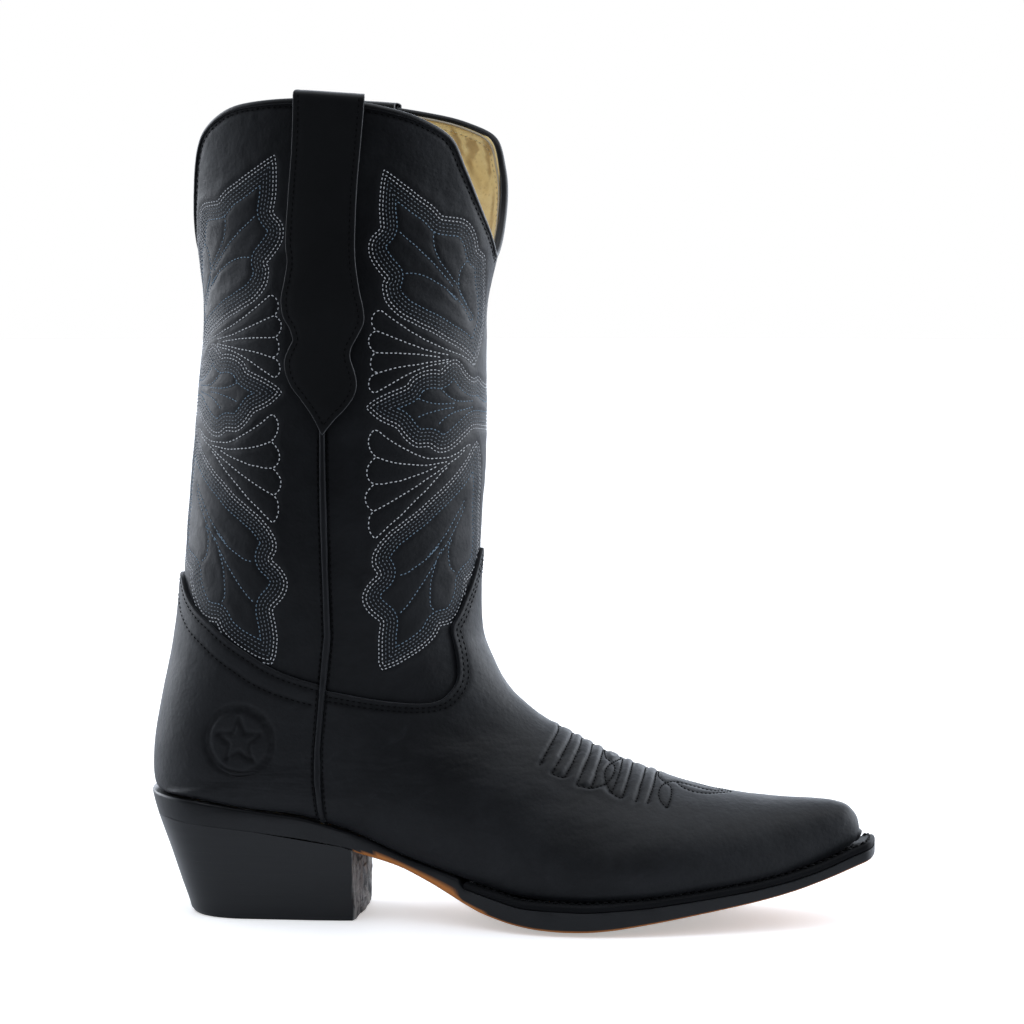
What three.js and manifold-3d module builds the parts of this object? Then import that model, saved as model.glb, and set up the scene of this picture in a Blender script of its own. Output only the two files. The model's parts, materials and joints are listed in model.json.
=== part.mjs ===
// Western (cowboy) boot, right foot, millimetres, +Z up.
// X runs from the heel to the toe, +Y is the inner (medial) side, -Y the outer
// (lateral) side, Z = 0 is the ground. The origin is the centre of the heel's
// ground face. The upper is a lofted surface made of half sections that turn from
// level rings round the shaft to upright sections across the toe; every leather
// layer is a shell cut from that surface at a stated depth, in mm below it.
import * as THREE from 'three';
import { mergeVertices } from 'three/addons/utils/BufferGeometryUtils.js';
import Module from 'manifold-3d';

const { clamp, smoothstep } = THREE.MathUtils;
const wasm = await Module();
wasm.setup();

// ---------------------------------------------------------------- dimensions
const GAP = 0.3;                              // clearance between neighbouring pieces

// Depths below the upper's surface: outer face (_D), thickness (_T), inner face (_IN).
const VAMP_T = 1.7;                           // vamp and counter leather
const SHAFT_D = VAMP_T + GAP;
const SHAFT_T = 1.3;
const SHAFT_IN = SHAFT_D + SHAFT_T;
const LINING_D = SHAFT_IN + GAP;
const LINING_T = 1.0;
const LINING_IN = LINING_D + LINING_T;
const STIFF_D = VAMP_T + GAP;                 // heel counter and toe box
const STIFF_IN = STIFF_D + 1.3;

const SIDE_WELT_HALF = 1.5;                   // half width of the side welt
const PANEL_SEAM = SIDE_WELT_HALF + GAP;      // side line to a panel's edge
const LINING_SEAM = 0.25;                     // side line to a shaft lining's edge
const BEAD_H = 3.6;                           // top bead height
const LAP = 12;                               // back panel runs this far below the counter edge

const INSOLE_D = 2.3;                         // insole underside above the feather line
const INSOLE_TOP = INSOLE_D + 3.0;            // insole top above the feather line
const PAD_T = 3.6;                            // heel seat pad top above the insole
const WELT_T = 3.2;                           // welt strip's underside below the feather line
const SOLE_CROWN = 1.6;                       // rise of the outsole's edges
const OUTSOLE_DROP = 0.4;                     // outsole top below the feather line

const HEEL_LIFT_TOPS = [15.6, 20.0, 24.4, 28.6];
const TOP_LIFT_H = 11.0;                      // rubber top lift
const HEEL_PLAN_Z = 34;                       // height at which the heel reaches full width
const HEEL_BREAST_X = 36.5;                   // front face of the heel

const NAIL_R = 1.0;
const PEG_R = 1.2;
const BRAD_R = 0.8;
const ROD_SIDES = 6;
const HOLE_Z = [-10, 60];                     // span of every fastener hole's cutter
const NAIL_Z0 = 11.6;
const BRAD_Z = [0.5, 10.7];
const NAIL_SPOTS = [[-34, 0], [-22, 15], [-22, -15], [2, 17], [2, -17]];
const BRAD_SPOTS = [[-24, 0], [-6, 19], [-6, -19], [27, 17], [27, -17]];
const PEG_X = [0, 1, 2].map((i) => 48 + 13 * i);
const PEG_INSET = 7.5;                        // peg centre in from the sole edge

const RING_HALF = 8;                          // points on each half section
const OUTLINE_STEPS = 80;                     // fine points on each quarter of a section
const NORMAL_STEP = 2e-3;                     // share of the way used to measure normals

// Reach of the cutting tools beyond the boot.
const FAR = 400;
const TOOL_BOTTOM = -40;
const TOOL_HALF_Y = 90;

// ------------------------------------------------------------ measured tables
// Half sections: front point (x,z), back or feather point (x,z), half width outer,
// inner, feather half width outer, inner, widest place (share of the way from front
// to back), and four shape exponents (see halfSection).
const STATIONS = [
  [102.5,356.0, -40.5,356.0, 49.5,49.5,  0.0, 0.0, 0.50, 2.00,2.00,2.00,2.00],
  [103.0,332.0, -41.5,332.0, 49.5,49.5,  0.0, 0.0, 0.50, 2.00,2.00,2.00,2.00],
  [101.0,308.0, -39.8,308.0, 49.5,49.5,  0.0, 0.0, 0.50, 2.00,2.00,2.00,2.00],
  [ 97.0,284.0, -36.0,285.0, 49.5,49.5,  0.0, 0.0, 0.50, 2.00,2.00,2.00,2.00],
  [ 92.3,262.0, -33.8,262.0, 49.8,49.8,  0.0, 0.0, 0.50, 2.00,2.00,2.00,2.00],
  [ 92.2,238.0, -35.0,238.0, 50.0,50.0,  0.0, 0.0, 0.50, 2.00,2.00,2.00,2.00],
  [ 92.0,212.0, -37.5,212.0, 50.0,50.0,  0.0, 0.0, 0.50, 2.00,2.00,2.00,2.00],
  [ 90.9,184.0, -40.2,184.0, 49.0,49.0,  0.0, 0.0, 0.50, 2.00,2.00,2.05,2.00],
  [ 89.2,160.0, -42.4,157.0, 47.0,47.0,  0.0, 0.0, 0.49, 2.00,2.00,2.15,2.00],
  [ 88.0,140.0, -44.0,134.0, 44.5,44.5,  0.0, 0.0, 0.48, 1.95,2.00,2.40,2.00],
  [ 88.8,124.0, -47.2,112.0, 41.8,41.8,  0.0, 0.0, 0.46, 1.90,2.00,2.90,2.00],
  [ 92.7,111.0, -52.0, 90.0, 39.2,38.9,  0.0, 0.0, 0.44, 1.80,2.00,3.60,2.00],
  [ 98.8,100.8, -55.0, 70.0, 37.4,37.0,  0.0, 0.0, 0.42, 1.70,2.00,4.20,2.00],
  [106.0, 92.6, -53.7, 53.6, 36.8,36.2,  2.0, 2.0, 0.40, 1.65,2.00,4.60,2.00],
  [114.0, 86.4, -46.5, 53.0, 36.8,36.0, 19.0,19.0, 0.40, 1.60,2.00,4.60,2.00],
  [122.0, 81.4, -30.0, 51.0, 37.0,36.0, 28.5,28.0, 0.40, 1.60,2.00,4.00,2.00],
  [130.0, 77.0,  -8.0, 47.8, 37.5,36.0, 30.5,29.5, 0.42, 1.60,2.00,3.00,1.60],
  [138.0, 72.8,  15.0, 45.0, 38.5,37.0, 29.5,28.0, 0.45, 1.60,2.00,2.60,1.50],
  [146.0, 69.2,  38.0, 38.0, 40.0,38.5, 27.5,25.0, 0.50, 1.60,1.95,2.40,1.40],
  [154.0, 66.0,  60.0, 27.8, 42.0,40.5, 27.0,23.5, 0.55, 1.60,1.90,2.20,1.40],
  [162.0, 63.1,  85.0, 20.0, 44.5,43.5, 32.0,27.0, 0.60, 1.60,1.90,2.20,1.40],
  [172.0, 60.0, 110.0, 14.0, 47.5,47.0, 41.5,38.0, 0.68, 1.65,1.90,2.20,1.40],
  [184.0, 56.9, 138.0, 13.4, 48.5,48.0, 47.0,45.5, 0.76, 1.70,1.90,2.20,1.50],
  [197.0, 54.6, 164.0, 15.2, 44.5,44.5, 44.5,44.5, 0.82, 1.80,1.90,2.20,1.50],
  [210.0, 53.1, 187.0, 18.0, 37.0,38.5, 37.5,39.0, 0.86, 1.90,1.95,2.20,1.50],
  [221.5, 52.6, 205.0, 20.4, 29.5,32.0, 30.0,32.5, 0.88, 2.00,2.00,2.20,1.50],
  [231.5, 52.2, 220.0, 23.4, 22.5,26.0, 22.8,26.5, 0.90, 2.10,2.10,2.20,1.50],
  [240.0, 51.2, 232.0, 26.8, 16.0,19.8, 16.2,20.0, 0.90, 2.20,2.20,2.20,1.50],
  [245.8, 48.6, 241.0, 30.3, 10.5,14.5, 10.8,14.6, 0.90, 2.30,2.30,2.20,1.50],
  [248.9, 44.4, 245.8, 32.6,  6.5, 9.5,  6.8, 9.6, 0.90, 2.30,2.30,2.20,1.50],
  [250.0, 39.6, 249.2, 34.6,  3.0, 4.8,  3.0, 4.8, 0.90, 2.30,2.30,2.20,1.50],
];

// Outlines and edges in side view: x, z.
// Side line of the boot, where the front and back panels meet, from the top down.
const SIDE_LINE = [
  [31.5,360], [31,330], [29.5,300], [28.2,260], [27.4,208], [27.4,190], [27.7,156],
  [28.0,123], [25.8,105], [24.0,88], [22.7,75], [22.6,62], [24.2,40],
];
const VAMP_EDGE = [                           // upper edge of the vamp
  [20,105.2], [27.8,103.4], [41.7,100.1], [58.6,97.3], [74.5,96.2], [79.9,97.2],
  [83.4,101.6], [84.2,108.5], [82.7,116], [81.3,122.5], [83.5,130], [85.8,137],
  [87.4,147], [87.9,160.5], [120,161],
];
const COUNTER_EDGE = [                        // upper edge of the counter cover
  [-80,147.5], [-42,146], [-38.4,136], [-32.4,128.5], [-24.1,120.4], [-13.7,113.2],
  [-2,107.9], [11.9,104.4], [30,102.8],
];
// Lower edge of the shaft's front panel.
const FRONT_PANEL_FOOT = [[20,92], [74,85], [84,88], [93,98], [130,102]];
const FOOT_LINING_TOP = [
  [-80,97], [-56,96], [-20,86], [24,76], [60,72], [92,74], [104,82], [140,88],
];
const STIFFENER = [[-80,30], [20,30], [20,60], [2,74], [-30,90], [-80,94]];
const TOE_BOX = [[196,0], [238,0], [238,80], [204,80], [196,40]];
const STRAP = [
  [16.4,349.6], [15.7,326.7], [13.9,306.1], [12.6,287.5], [13.2,280.4], [12.1,273.0],
  [10.6,264.7], [11.6,257.2], [14.3,252.6], [15.6,248.1], [13.2,243.5], [11.9,239.7],
  [12.2,234.7], [14.6,228.9], [19.0,223.1], [23.6,216.5], [27.6,208.4], [32.5,214.6],
  [37.1,219.4], [40.9,224.9], [42.0,229.9], [41.2,234.9], [39.4,241.0], [39.7,244.4],
  [42.7,250.3], [45.0,255.7], [44.7,261.5], [43.2,268.9], [41.7,280.5], [41.5,289.6],
  [42.4,310.2], [44.2,330.8], [45.7,349.6],
];
const STRAP_INSIDE = [[17.2,300], [44.6,300], [45.4,350.4], [16.8,350.4]];

// Top line of the shaft: share of the way round from the front to the back, height.
// It is tall at the sides and dips in a deep V at the front and at the back.
const RIM = [
  [0,283.5], [0.0213,285.5], [0.0938,299.8], [0.155,319], [0.1963,332.2],
  [0.2725,339.6], [0.3463,343.6], [0.5,348], [0.6837,347], [0.76,343.8],
  [0.8325,335.6], [0.8588,329], [0.9163,302.5], [0.9788,287], [1,284.8],
];
const RIM_LENGTH = 187.8;                     // half way round the collar

// Sole plan: x, outer half width, inner half width of the outsole.
const SOLE_PLAN = [
  [-55.2,1.5,1.5], [-53.6,9,9], [-50.5,15.5,15.5], [-45.5,21.5,21.5], [-38,26.6,26.4],
  [-28,30.2,29.8], [-14,32.2,31.4], [0,32.6,31.4], [16,31.6,30], [32,30.2,27.8],
  [48,29.4,26], [64,30.4,25.6], [80,35,28.5], [96,42.5,35.5], [110,48.2,43],
  [124,51.4,48], [138,52.2,50.2], [152,50.6,50], [168,46.6,47.8], [184,41,43.8],
  [200,34.6,38.6], [216,27.6,32.6], [230,21.6,26.8], [242,16.2,21.4], [250,12.6,17.8],
  [254.6,10.6,15.6],
];
const SHANK_PLAN = [[-20,6,6], [-12,7.5,7.5], [30,7.5,7.5], [80,7.5,7.5], [88,6,6]];
const WIDE_PLAN = [[-90,70,70], [300,70,70]]; // wider than the sole everywhere

// Heights along the sole: x, z. The feather line is where the upper meets the sole.
const FEATHER_Z = [
  [-60,54.2], [-53.7,53.6], [-46.5,53], [-30,51], [-8,47.8], [15,45], [38,38],
  [60,27.8], [85,20], [110,14], [138,13.4], [164,15.2], [187,18], [205,20.4],
  [220,23.4], [232,26.8], [241,30.3], [245.8,32.6], [256,36.4],
];
const SOLE_UNDER = [                          // outsole's lower face along the middle
  [-60,44.6], [-52,43.4], [-5.3,38.2], [15,35.6], [33.5,32.2], [36.5,30.4], [48,26.2],
  [57,22.6], [65,18.8], [74,14.4], [83,9.6], [92,5.6], [104,2.4], [116,0.6],
  [128,0.0], [139,0.2], [150,1.2], [161,2.9], [172,4.7], [183,6.6], [194,8.5],
  [205,10.5], [216,12.8], [226,15.5], [238,19.6], [246,22.8], [256,26.9],
];
const WEDGE_TOP = [[-60,44.2], [-5.3,38.2], [36.5,31.6]];
// Heel back: z, x.
const HEEL_BACK = [[0,-34.6], [1.4,-36.2], [9.7,-40], [26.7,-45.6], [34.9,-50], [44,-53.4]];
// Insole edge in from the sole edge: x, inset.
const INSOLE_INSET = [[-60,5.6], [0,6.4], [60,7.2], [90,9.0], [120,9.4], [250,9.4]];

// ------------------------------------------------------------- solid helpers
// Linear reading of a table at x; held level beyond its ends.
function lerpAt(table, x, column = 1) {
  let i = 0;
  while (i < table.length - 2 && x > table[i + 1][0]) i++;
  const low = table[i];
  const high = table[i + 1];
  const share = clamp((x - low[0]) / (high[0] - low[0]), 0, 1);
  return low[column] + (high[column] - low[column]) * share;
}

// Welds a geometry's vertices, drops collapsed triangles and makes it a solid.
function toSolid(geometry) {
  geometry.deleteAttribute('normal');
  geometry.deleteAttribute('uv');
  const welded = mergeVertices(geometry, 1e-4);
  const corners = [];
  for (let i = 0; i < welded.index.count; i += 3) {
    const [a, b, c] = [0, 1, 2].map((k) => welded.index.getX(i + k));
    if (a !== b && b !== c && c !== a) corners.push(a, b, c);
  }
  return new wasm.Manifold(new wasm.Mesh({
    numProp: 3,
    vertProperties: new Float32Array(welded.attributes.position.array),
    triVerts: new Uint32Array(corners),
  }));
}

function fanFaces(points, faces) {
  const positions = [];
  for (const face of faces) {
    for (let i = 1; i + 1 < face.length; i++) {
      for (const k of [face[0], face[i], face[i + 1]]) positions.push(...points[k]);
    }
  }
  const geometry = new THREE.BufferGeometry();
  geometry.setAttribute('position', new THREE.Float32BufferAttribute(positions, 3));
  return toSolid(geometry);
}

// Solid from a closed set of faces, turned right side out if they face inwards.
function fromFaces(points, faces) {
  const solid = fanFaces(points, faces);
  if (solid.volume() >= 0) return solid;
  return fanFaces(points, faces.map((face) => [...face].reverse()));
}

// Quads joining two rings of points, given each ring's first index.
function joinRings(start, nextStart, count) {
  return Array.from({ length: count }, (_, k) => {
    const k2 = (k + 1) % count;
    return [start + k, nextStart + k, nextStart + k2, start + k2];
  });
}

// End cap of a ring, in quads across between matching points of its two halves.
function capRing(start, count, flipped) {
  const faces = [];
  for (let k = 0; k + 1 < count / 2; k++) {
    const near = [start + k, start + k + 1];
    const across = [start + count - 2 - k, start + count - 1 - k];
    faces.push(flipped ? [near[0], across[1], across[0], near[1]] : [...near, ...across]);
  }
  return faces;
}

// Prism through the side view: outline in (x, z), cut from y0 to y1.
function sidePrism(outline, y0 = -TOOL_HALF_Y, y1 = TOOL_HALF_Y) {
  const shape = new THREE.Shape(outline.map(([x, z]) => new THREE.Vector2(x, z)));
  const geometry = new THREE.ExtrudeGeometry(shape, { depth: y1 - y0, bevelEnabled: false });
  geometry.rotateX(Math.PI / 2);
  geometry.translate(0, y1, 0);
  return toSolid(geometry);
}

const sideBox = (x0, x1, z0, z1, y0, y1) =>
  sidePrism([[x0, z0], [x1, z0], [x1, z1], [x0, z1]], y0, y1);

// Upright rod.
function rod(x, y, z0, z1, radius) {
  const geometry = new THREE.CylinderGeometry(radius, radius, z1 - z0, ROD_SIDES);
  geometry.rotateX(Math.PI / 2);
  geometry.translate(x, y, (z0 + z1) / 2);
  return toSolid(geometry);
}

const join = (solids) => solids.reduce((all, solid) => all.add(solid));
const holesAt = (spots, radius) =>
  join(spots.map(([x, y]) => rod(x, y, ...HOLE_Z, radius + GAP)));

// --------------------------------------------------------- the upper's surface
// Place of each station along the surface, 0 at the top to 1 at the toe, spaced by
// the mean distance between front points and between back points.
const STATION_AT = (() => {
  const places = [0];
  for (let i = 1; i < STATIONS.length; i++) {
    const [frontX0, frontZ0, backX0, backZ0] = STATIONS[i - 1];
    const [frontX1, frontZ1, backX1, backZ1] = STATIONS[i];
    places.push(places[i - 1] + 0.5 * Math.hypot(frontX1 - frontX0, frontZ1 - frontZ0)
      + 0.5 * Math.hypot(backX1 - backX0, backZ1 - backZ0));
  }
  return places.map((place) => place / places[places.length - 1]);
})();

// Slope of every station column, for the cubic between stations.
const SLOPES = STATIONS.map((row, i) => row.map((_, column) => {
  const last = STATIONS.length - 1;
  const span = (j) => STATION_AT[j + 1] - STATION_AT[j];
  const slope = (j) => (STATIONS[j + 1][column] - STATIONS[j][column]) / span(j);
  if (i === 0) return slope(0);
  if (i === last) return slope(last - 1);
  return (slope(i - 1) * span(i) + slope(i) * span(i - 1)) / (span(i - 1) + span(i));
}));

// Station columns at any place along the surface, by cubic Hermite interpolation.
function station(along) {
  const place = clamp(along, 0, 1);
  let i = 0;
  while (i < STATION_AT.length - 2 && place >= STATION_AT[i + 1]) i++;
  const span = STATION_AT[i + 1] - STATION_AT[i];
  const share = (place - STATION_AT[i]) / span;
  const square = share * share;
  const cube = square * share;
  return STATIONS[i].map((value, column) => (2 * cube - 3 * square + 1) * value
    + (cube - 2 * square + share) * span * SLOPES[i][column]
    + (-2 * cube + 3 * square) * STATIONS[i + 1][column]
    + (cube - square) * span * SLOPES[i + 1][column]);
}

// Points on one side's half section (side -1 lateral, 1 medial) at the given rising
// shares of its length, from the front point round to the back or feather point.
// Each quarter is a superellipse with one exponent lengthways and one across.
function halfSection(along, side, shares) {
  const [frontX, frontZ, backX, backZ, wideLateral, wideMedial, featherLateral,
    featherMedial, widestAt, frontLengthExp, frontWidthExp, backLengthExp,
    backWidthExp] = station(along);
  const feather = Math.max(0, side < 0 ? featherLateral : featherMedial);
  const widest = Math.max(feather, side < 0 ? wideLateral : wideMedial);
  const lastStep = OUTLINE_STEPS - 1;
  const run = [];                             // share of the way from front to back
  const width = [];
  for (let k = 0; k <= lastStep; k++) {
    const angle = k / lastStep * Math.PI / 2;
    run.push(widestAt * (1 - Math.cos(angle) ** (2 / frontLengthExp)));
    width.push(widest * Math.sin(angle) ** (2 / frontWidthExp));
  }
  for (let k = 1; k <= lastStep; k++) {
    const angle = k / lastStep * Math.PI / 2;
    const narrowing = k === lastStep ? 0 : Math.cos(angle) ** (2 / backWidthExp);
    run.push(widestAt + (1 - widestAt) * Math.sin(angle) ** (2 / backLengthExp));
    width.push(feather + (widest - feather) * narrowing);
  }

  const chord = Math.hypot(backX - frontX, backZ - frontZ);
  const length = [0];
  for (let k = 1; k < run.length; k++) {
    length.push(length[k - 1]
      + Math.hypot((run[k] - run[k - 1]) * chord, width[k] - width[k - 1]));
  }
  let j = 0;
  return shares.map((share) => {
    const target = share * length[length.length - 1];
    while (j < length.length - 2 && length[j + 1] < target) j++;
    const step = length[j + 1] - length[j];
    const part = step > 0 ? Math.min(1, (target - length[j]) / step) : 0;
    const atRun = run[j] + (run[j + 1] - run[j]) * part;
    const atWidth = width[j] + (width[j + 1] - width[j]) * part;
    return new THREE.Vector3(frontX + (backX - frontX) * atRun, side * atWidth,
      frontZ + (backZ - frontZ) * atRun);
  });
}

const RING_SHARES = Array.from({ length: RING_HALF }, (_, k) => k / (RING_HALF - 1));

// Surface points and outward normals of a ring. A closed ring meets itself at the
// back; an open one ends at the feather line on each side.
function makeRing(along) {
  const before = Math.max(0, along - NORMAL_STEP);
  const after = Math.min(1, along + NORMAL_STEP);
  const [frontX, frontZ, backX, backZ, wideLateral, wideMedial, feather] = station(along);
  const [, , backX0, backZ0] = station(before);
  const [, , backX1, backZ1] = station(after);
  const closed = feather < 0.05;
  // Outward normal of the back line, which turns to face down under the foot.
  const backNormal = new THREE.Vector3(backZ1 - backZ0, 0, -(backX1 - backX0)).normalize();

  const halves = [-1, 1].map((side) => {
    const points = halfSection(along, side, RING_SHARES);
    const pointsBefore = halfSection(before, side, RING_SHARES);
    const pointsAfter = halfSection(after, side, RING_SHARES);
    const nearer = halfSection(along, side,
      RING_SHARES.map((share) => Math.max(0, share - NORMAL_STEP)));
    const further = halfSection(along, side,
      RING_SHARES.map((share) => Math.min(1, share + NORMAL_STEP)));
    const normals = points.map((_, k) => {
      const lengthways = pointsAfter[k].clone().sub(pointsBefore[k]);
      const round = k === 0 ? new THREE.Vector3(0, side, 0) : further[k].clone().sub(nearer[k]);
      return lengthways.cross(round).multiplyScalar(side).normalize();
    });
    if (closed) {
      points[RING_HALF - 1].y = 0;
      normals[RING_HALF - 1].copy(backNormal);
    }
    return { points, normals };
  });
  return {
    halves,
    closed,
    backNormal,
    width: Math.min(wideLateral, wideMedial),
    height: Math.hypot(frontX - backX, frontZ - backZ),
  };
}
const RINGS = STATION_AT.map(makeRing);

// One half of a ring moved in by a depth; a feather point moves in from both the
// side and the underside.
function sinkHalf({ points, normals }, ring, depth) {
  return points.map((point, k) => {
    const normal = normals[k];
    const atBack = k === RING_HALF - 1;
    if (atBack && !ring.closed) {
      const spread = 1 + Math.max(-0.2, normal.dot(ring.backNormal));
      const shift = normal.clone().add(ring.backNormal).multiplyScalar(-depth / spread);
      return point.clone().add(shift).toArray();
    }
    const sunk = point.clone().addScaledVector(normal, -depth);
    if (k === 0 || atBack) sunk.y = 0;
    return sunk.toArray();
  });
}

// Solid of the whole upper at a depth below its surface (negative stands proud).
// Toe rings too small to hold that depth are left out.
const bodyCache = new Map();
function body(depth) {
  const key = depth.toFixed(3);
  if (bodyCache.has(key)) return bodyCache.get(key);
  const rings = RINGS.filter((ring) => depth <= 0
    || (ring.width > depth + 1.5 && ring.height > 2 * depth + 3));
  const count = 2 * RING_HALF;
  const points = rings.flatMap((ring) => {
    const [lateral, medial] = ring.halves.map((half) => sinkHalf(half, ring, depth));
    return [...lateral, ...medial.reverse()];
  });
  const faces = [];
  for (let i = 0; i + 1 < rings.length; i++) {
    joinRings(i * count, (i + 1) * count, count).forEach(([a, e, c, b], k) => {
      // The diagonal is mirrored from one side to the other.
      if (k < RING_HALF) faces.push([a, b, c], [a, c, e]);
      else faces.push([a, b, e], [b, c, e]);
    });
  }
  faces.push(...capRing(0, count, true));
  faces.push(...capRing((rings.length - 1) * count, count, false));
  const solid = fromFaces(points, faces);
  bodyCache.set(key, solid);
  return solid;
}

const TOP_CUT = sideBox(-300, 300, TOOL_BOTTOM, 352);
const shell = (outerDepth, innerDepth) =>
  body(outerDepth).subtract(body(innerDepth)).intersect(TOP_CUT);

// The top corners lean: the outer side of the front corner sits a little back, the
// inner side a little forward.
const LEAN = { medial: 8.5, lateral: 5, fromZ: 262, toZ: 318, fromX: 40, toX: 92, fullY: 32 };
function lean(x, y, z) {
  return x + (y > 0 ? LEAN.medial : LEAN.lateral) * smoothstep(z, LEAN.fromZ, LEAN.toZ)
    * smoothstep(x, LEAN.fromX, LEAN.toX) * clamp(y / LEAN.fullY, -1, 1);
}

// ------------------------------------------------------------- cutting tools
// Everything in front of or behind the side line moved by dx.
function besideSideLine(dx, farX) {
  const line = SIDE_LINE.map(([x, z]) => [x + dx, z]);
  const topX = line[0][0];
  const bottomX = line[line.length - 1][0];
  return sidePrism([...line, [bottomX, -20], [farX, -20], [farX, 380], [topX, 380]]);
}
const frontOf = (dx) => besideSideLine(dx, FAR);
const backOf = (dx) => besideSideLine(dx, -FAR);
const weltBand = (z0, z1) => frontOf(-SIDE_WELT_HALF).intersect(backOf(SIDE_WELT_HALF))
  .intersect(sideBox(-FAR, FAR, z0, z1));

// Everything between an edge curve, moved by dz, and a level farZ.
function fromCurve(curve, dz, farZ) {
  const edge = curve.map(([x, z]) => [x, z + dz]);
  const firstZ = edge[0][1];
  const lastZ = edge[edge.length - 1][1];
  return sidePrism([...edge, [FAR, lastZ], [FAR, farZ], [-FAR, farZ], [-FAR, firstZ]]);
}
const below = (curve) => fromCurve(curve, 0, TOOL_BOTTOM);
const above = (curve, dz = 0) => fromCurve(curve, dz, FAR);

const SIDES = {
  lateral: sideBox(-FAR, FAR, TOOL_BOTTOM, FAR, -120, 0),
  medial: sideBox(-FAR, FAR, TOOL_BOTTOM, FAR, 0, 120),
};

// Place along the surface where the front line is at a height, found by halving.
function placeAtHeight(height) {
  let low = 0;
  let high = 0.5;
  for (let k = 0; k < 40; k++) {
    const middle = (low + high) / 2;
    if (station(middle)[1] > height) low = middle;
    else high = middle;
  }
  return low;
}

// Everything above the top line, lowered by drop mm along its own slope.
function rimTool(drop) {
  const tipDropFactor = 1.35;                 // extra drop at the points of the two Vs
  const centreX = 31;
  const inside = 0.84;                        // the wall spans these scales of the
  const outside = 1.14;                       // surface about the centre
  const lowered = RIM.map(([share, height], i) => {
    if (i === 0 || i === RIM.length - 1) return [share, height - drop * tipDropFactor];
    const [share0, height0] = RIM[i - 1];
    const [share1, height1] = RIM[i + 1];
    const run = (share1 - share0) * RIM_LENGTH;
    const rise = height1 - height0;
    const length = Math.hypot(run, rise);
    return [share + drop * rise / length / RIM_LENGTH, height - drop * run / length];
  });
  const [lateral, medial] = [-1, 1].map((side) => lowered.map(([share, height]) => {
    const [point] = halfSection(placeAtHeight(height), side, [clamp(share, 0, 1)]);
    return [point.x, point.y, height];
  }));
  const loop = [...lateral, ...medial.slice(1, -1).reverse()];
  const points = loop.flatMap(([x, y, height]) => {
    const corners = [[inside, height], [outside, height], [outside, FAR], [inside, FAR]];
    return corners.map(([scale, z]) => [centreX + (x - centreX) * scale, y * scale, z]);
  });
  const faces = loop.flatMap((_, i) => joinRings(4 * i, 4 * ((i + 1) % loop.length), 4));
  return fromFaces(points, faces);
}

// ---------------------------------------------------------------- sole plates
const featherZ = (x) => lerpAt(FEATHER_Z, x);
const underZ = (x) => lerpAt(SOLE_UNDER, x);
const overFeather = (rise) => (x) => featherZ(x) + rise;
const insoleInset = (x) => lerpAt(INSOLE_INSET, x);
const toeInset = (inset) => (x) => inset + 4 * smoothstep(x, 190, 226);   // grows at the toe

// Places where a plate has a section; plan points close to another are left out.
const PLATE_X = (() => {
  const places = [...FEATHER_Z, ...SOLE_UNDER.filter(([x]) => x < 40)].map(([x]) => x);
  for (const [x] of SOLE_PLAN) {
    if (places.every((place) => Math.abs(place - x) > 3)) places.push(x);
  }
  return places.sort((a, b) => a - b);
})();

// A plate following the sole: plan narrowed by inset(x), between the heights
// bottom(x) and top(x). A crown lifts the edges of the lower face.
function plate({ x0, x1, top, bottom, inset = () => 0, crown = 0, plan = SOLE_PLAN }) {
  const places = [x0, ...PLATE_X.filter((x) => x > x0 + 0.3 && x < x1 - 0.3), x1];
  const strips = crown ? 4 : 1;
  const count = 2 * (strips + 1);
  const points = [];
  const faces = [];
  for (const x of places) {
    const lateral = -Math.max(0.8, lerpAt(plan, x, 1) - inset(x));
    const medial = Math.max(0.8, lerpAt(plan, x, 2) - inset(x));
    for (let j = 0; j <= strips; j++) {
      const share = j / strips;
      const lift = crown * smoothstep(Math.abs(2 * share - 1), 0.4, 1);
      points.push([x, lateral + (medial - lateral) * share, bottom(x) + lift]);
    }
    for (let j = strips; j >= 0; j--) {
      points.push([x, lateral + (medial - lateral) * j / strips, top(x)]);
    }
  }
  for (let i = 0; i + 1 < places.length; i++) {
    faces.push(...joinRings(i * count, (i + 1) * count, count));
  }
  faces.push(...capRing(0, count, false));
  faces.push(...capRing((places.length - 1) * count, count, true));
  return fromFaces(points, faces);
}

// ---------------------------------------------------------------- heel layers
// Plan of the heel at a height: a rounded back, then a slightly bowed breast.
function heelPlan(z) {
  const backX = lerpAt(HEEL_BACK, z);
  const share = z / HEEL_PLAN_Z;
  const lateral = 27.3 + 4.2 * share;
  const medial = 27.0 + 3.6 * share;
  const backLength = 27 + 2 * share;          // length of the rounded back
  const breastInset = 1.6;                    // breast corners in from the full width
  const breastBow = 1.1;
  const plan = [];
  for (let k = 0; k <= 12; k++) {
    const angle = Math.PI / 2 * (1 - k / 6);  // medial to lateral
    const width = angle >= 0 ? medial : lateral;
    const sine = Math.sin(angle);
    plan.push([backX + backLength * (1 - Math.cos(angle) ** 0.9),
      Math.sign(sine) * width * Math.abs(sine) ** 0.92]);
  }
  plan.push([HEEL_BREAST_X, breastInset - lateral], [HEEL_BREAST_X + breastBow, 0],
    [HEEL_BREAST_X, medial - breastInset]);
  return plan;
}

// Triangles zigzagging across a ring from both of its ends.
function zigzagCap(start, count) {
  const faces = [];
  let i = 0;
  let j = count - 1;
  while (j - i > 1) {
    faces.push([start + i, start + i + 1, start + j]);
    i++;
    if (j - i > 1) {
      faces.push([start + i, start + j - 1, start + j]);
      j--;
    }
  }
  return faces;
}

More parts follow.
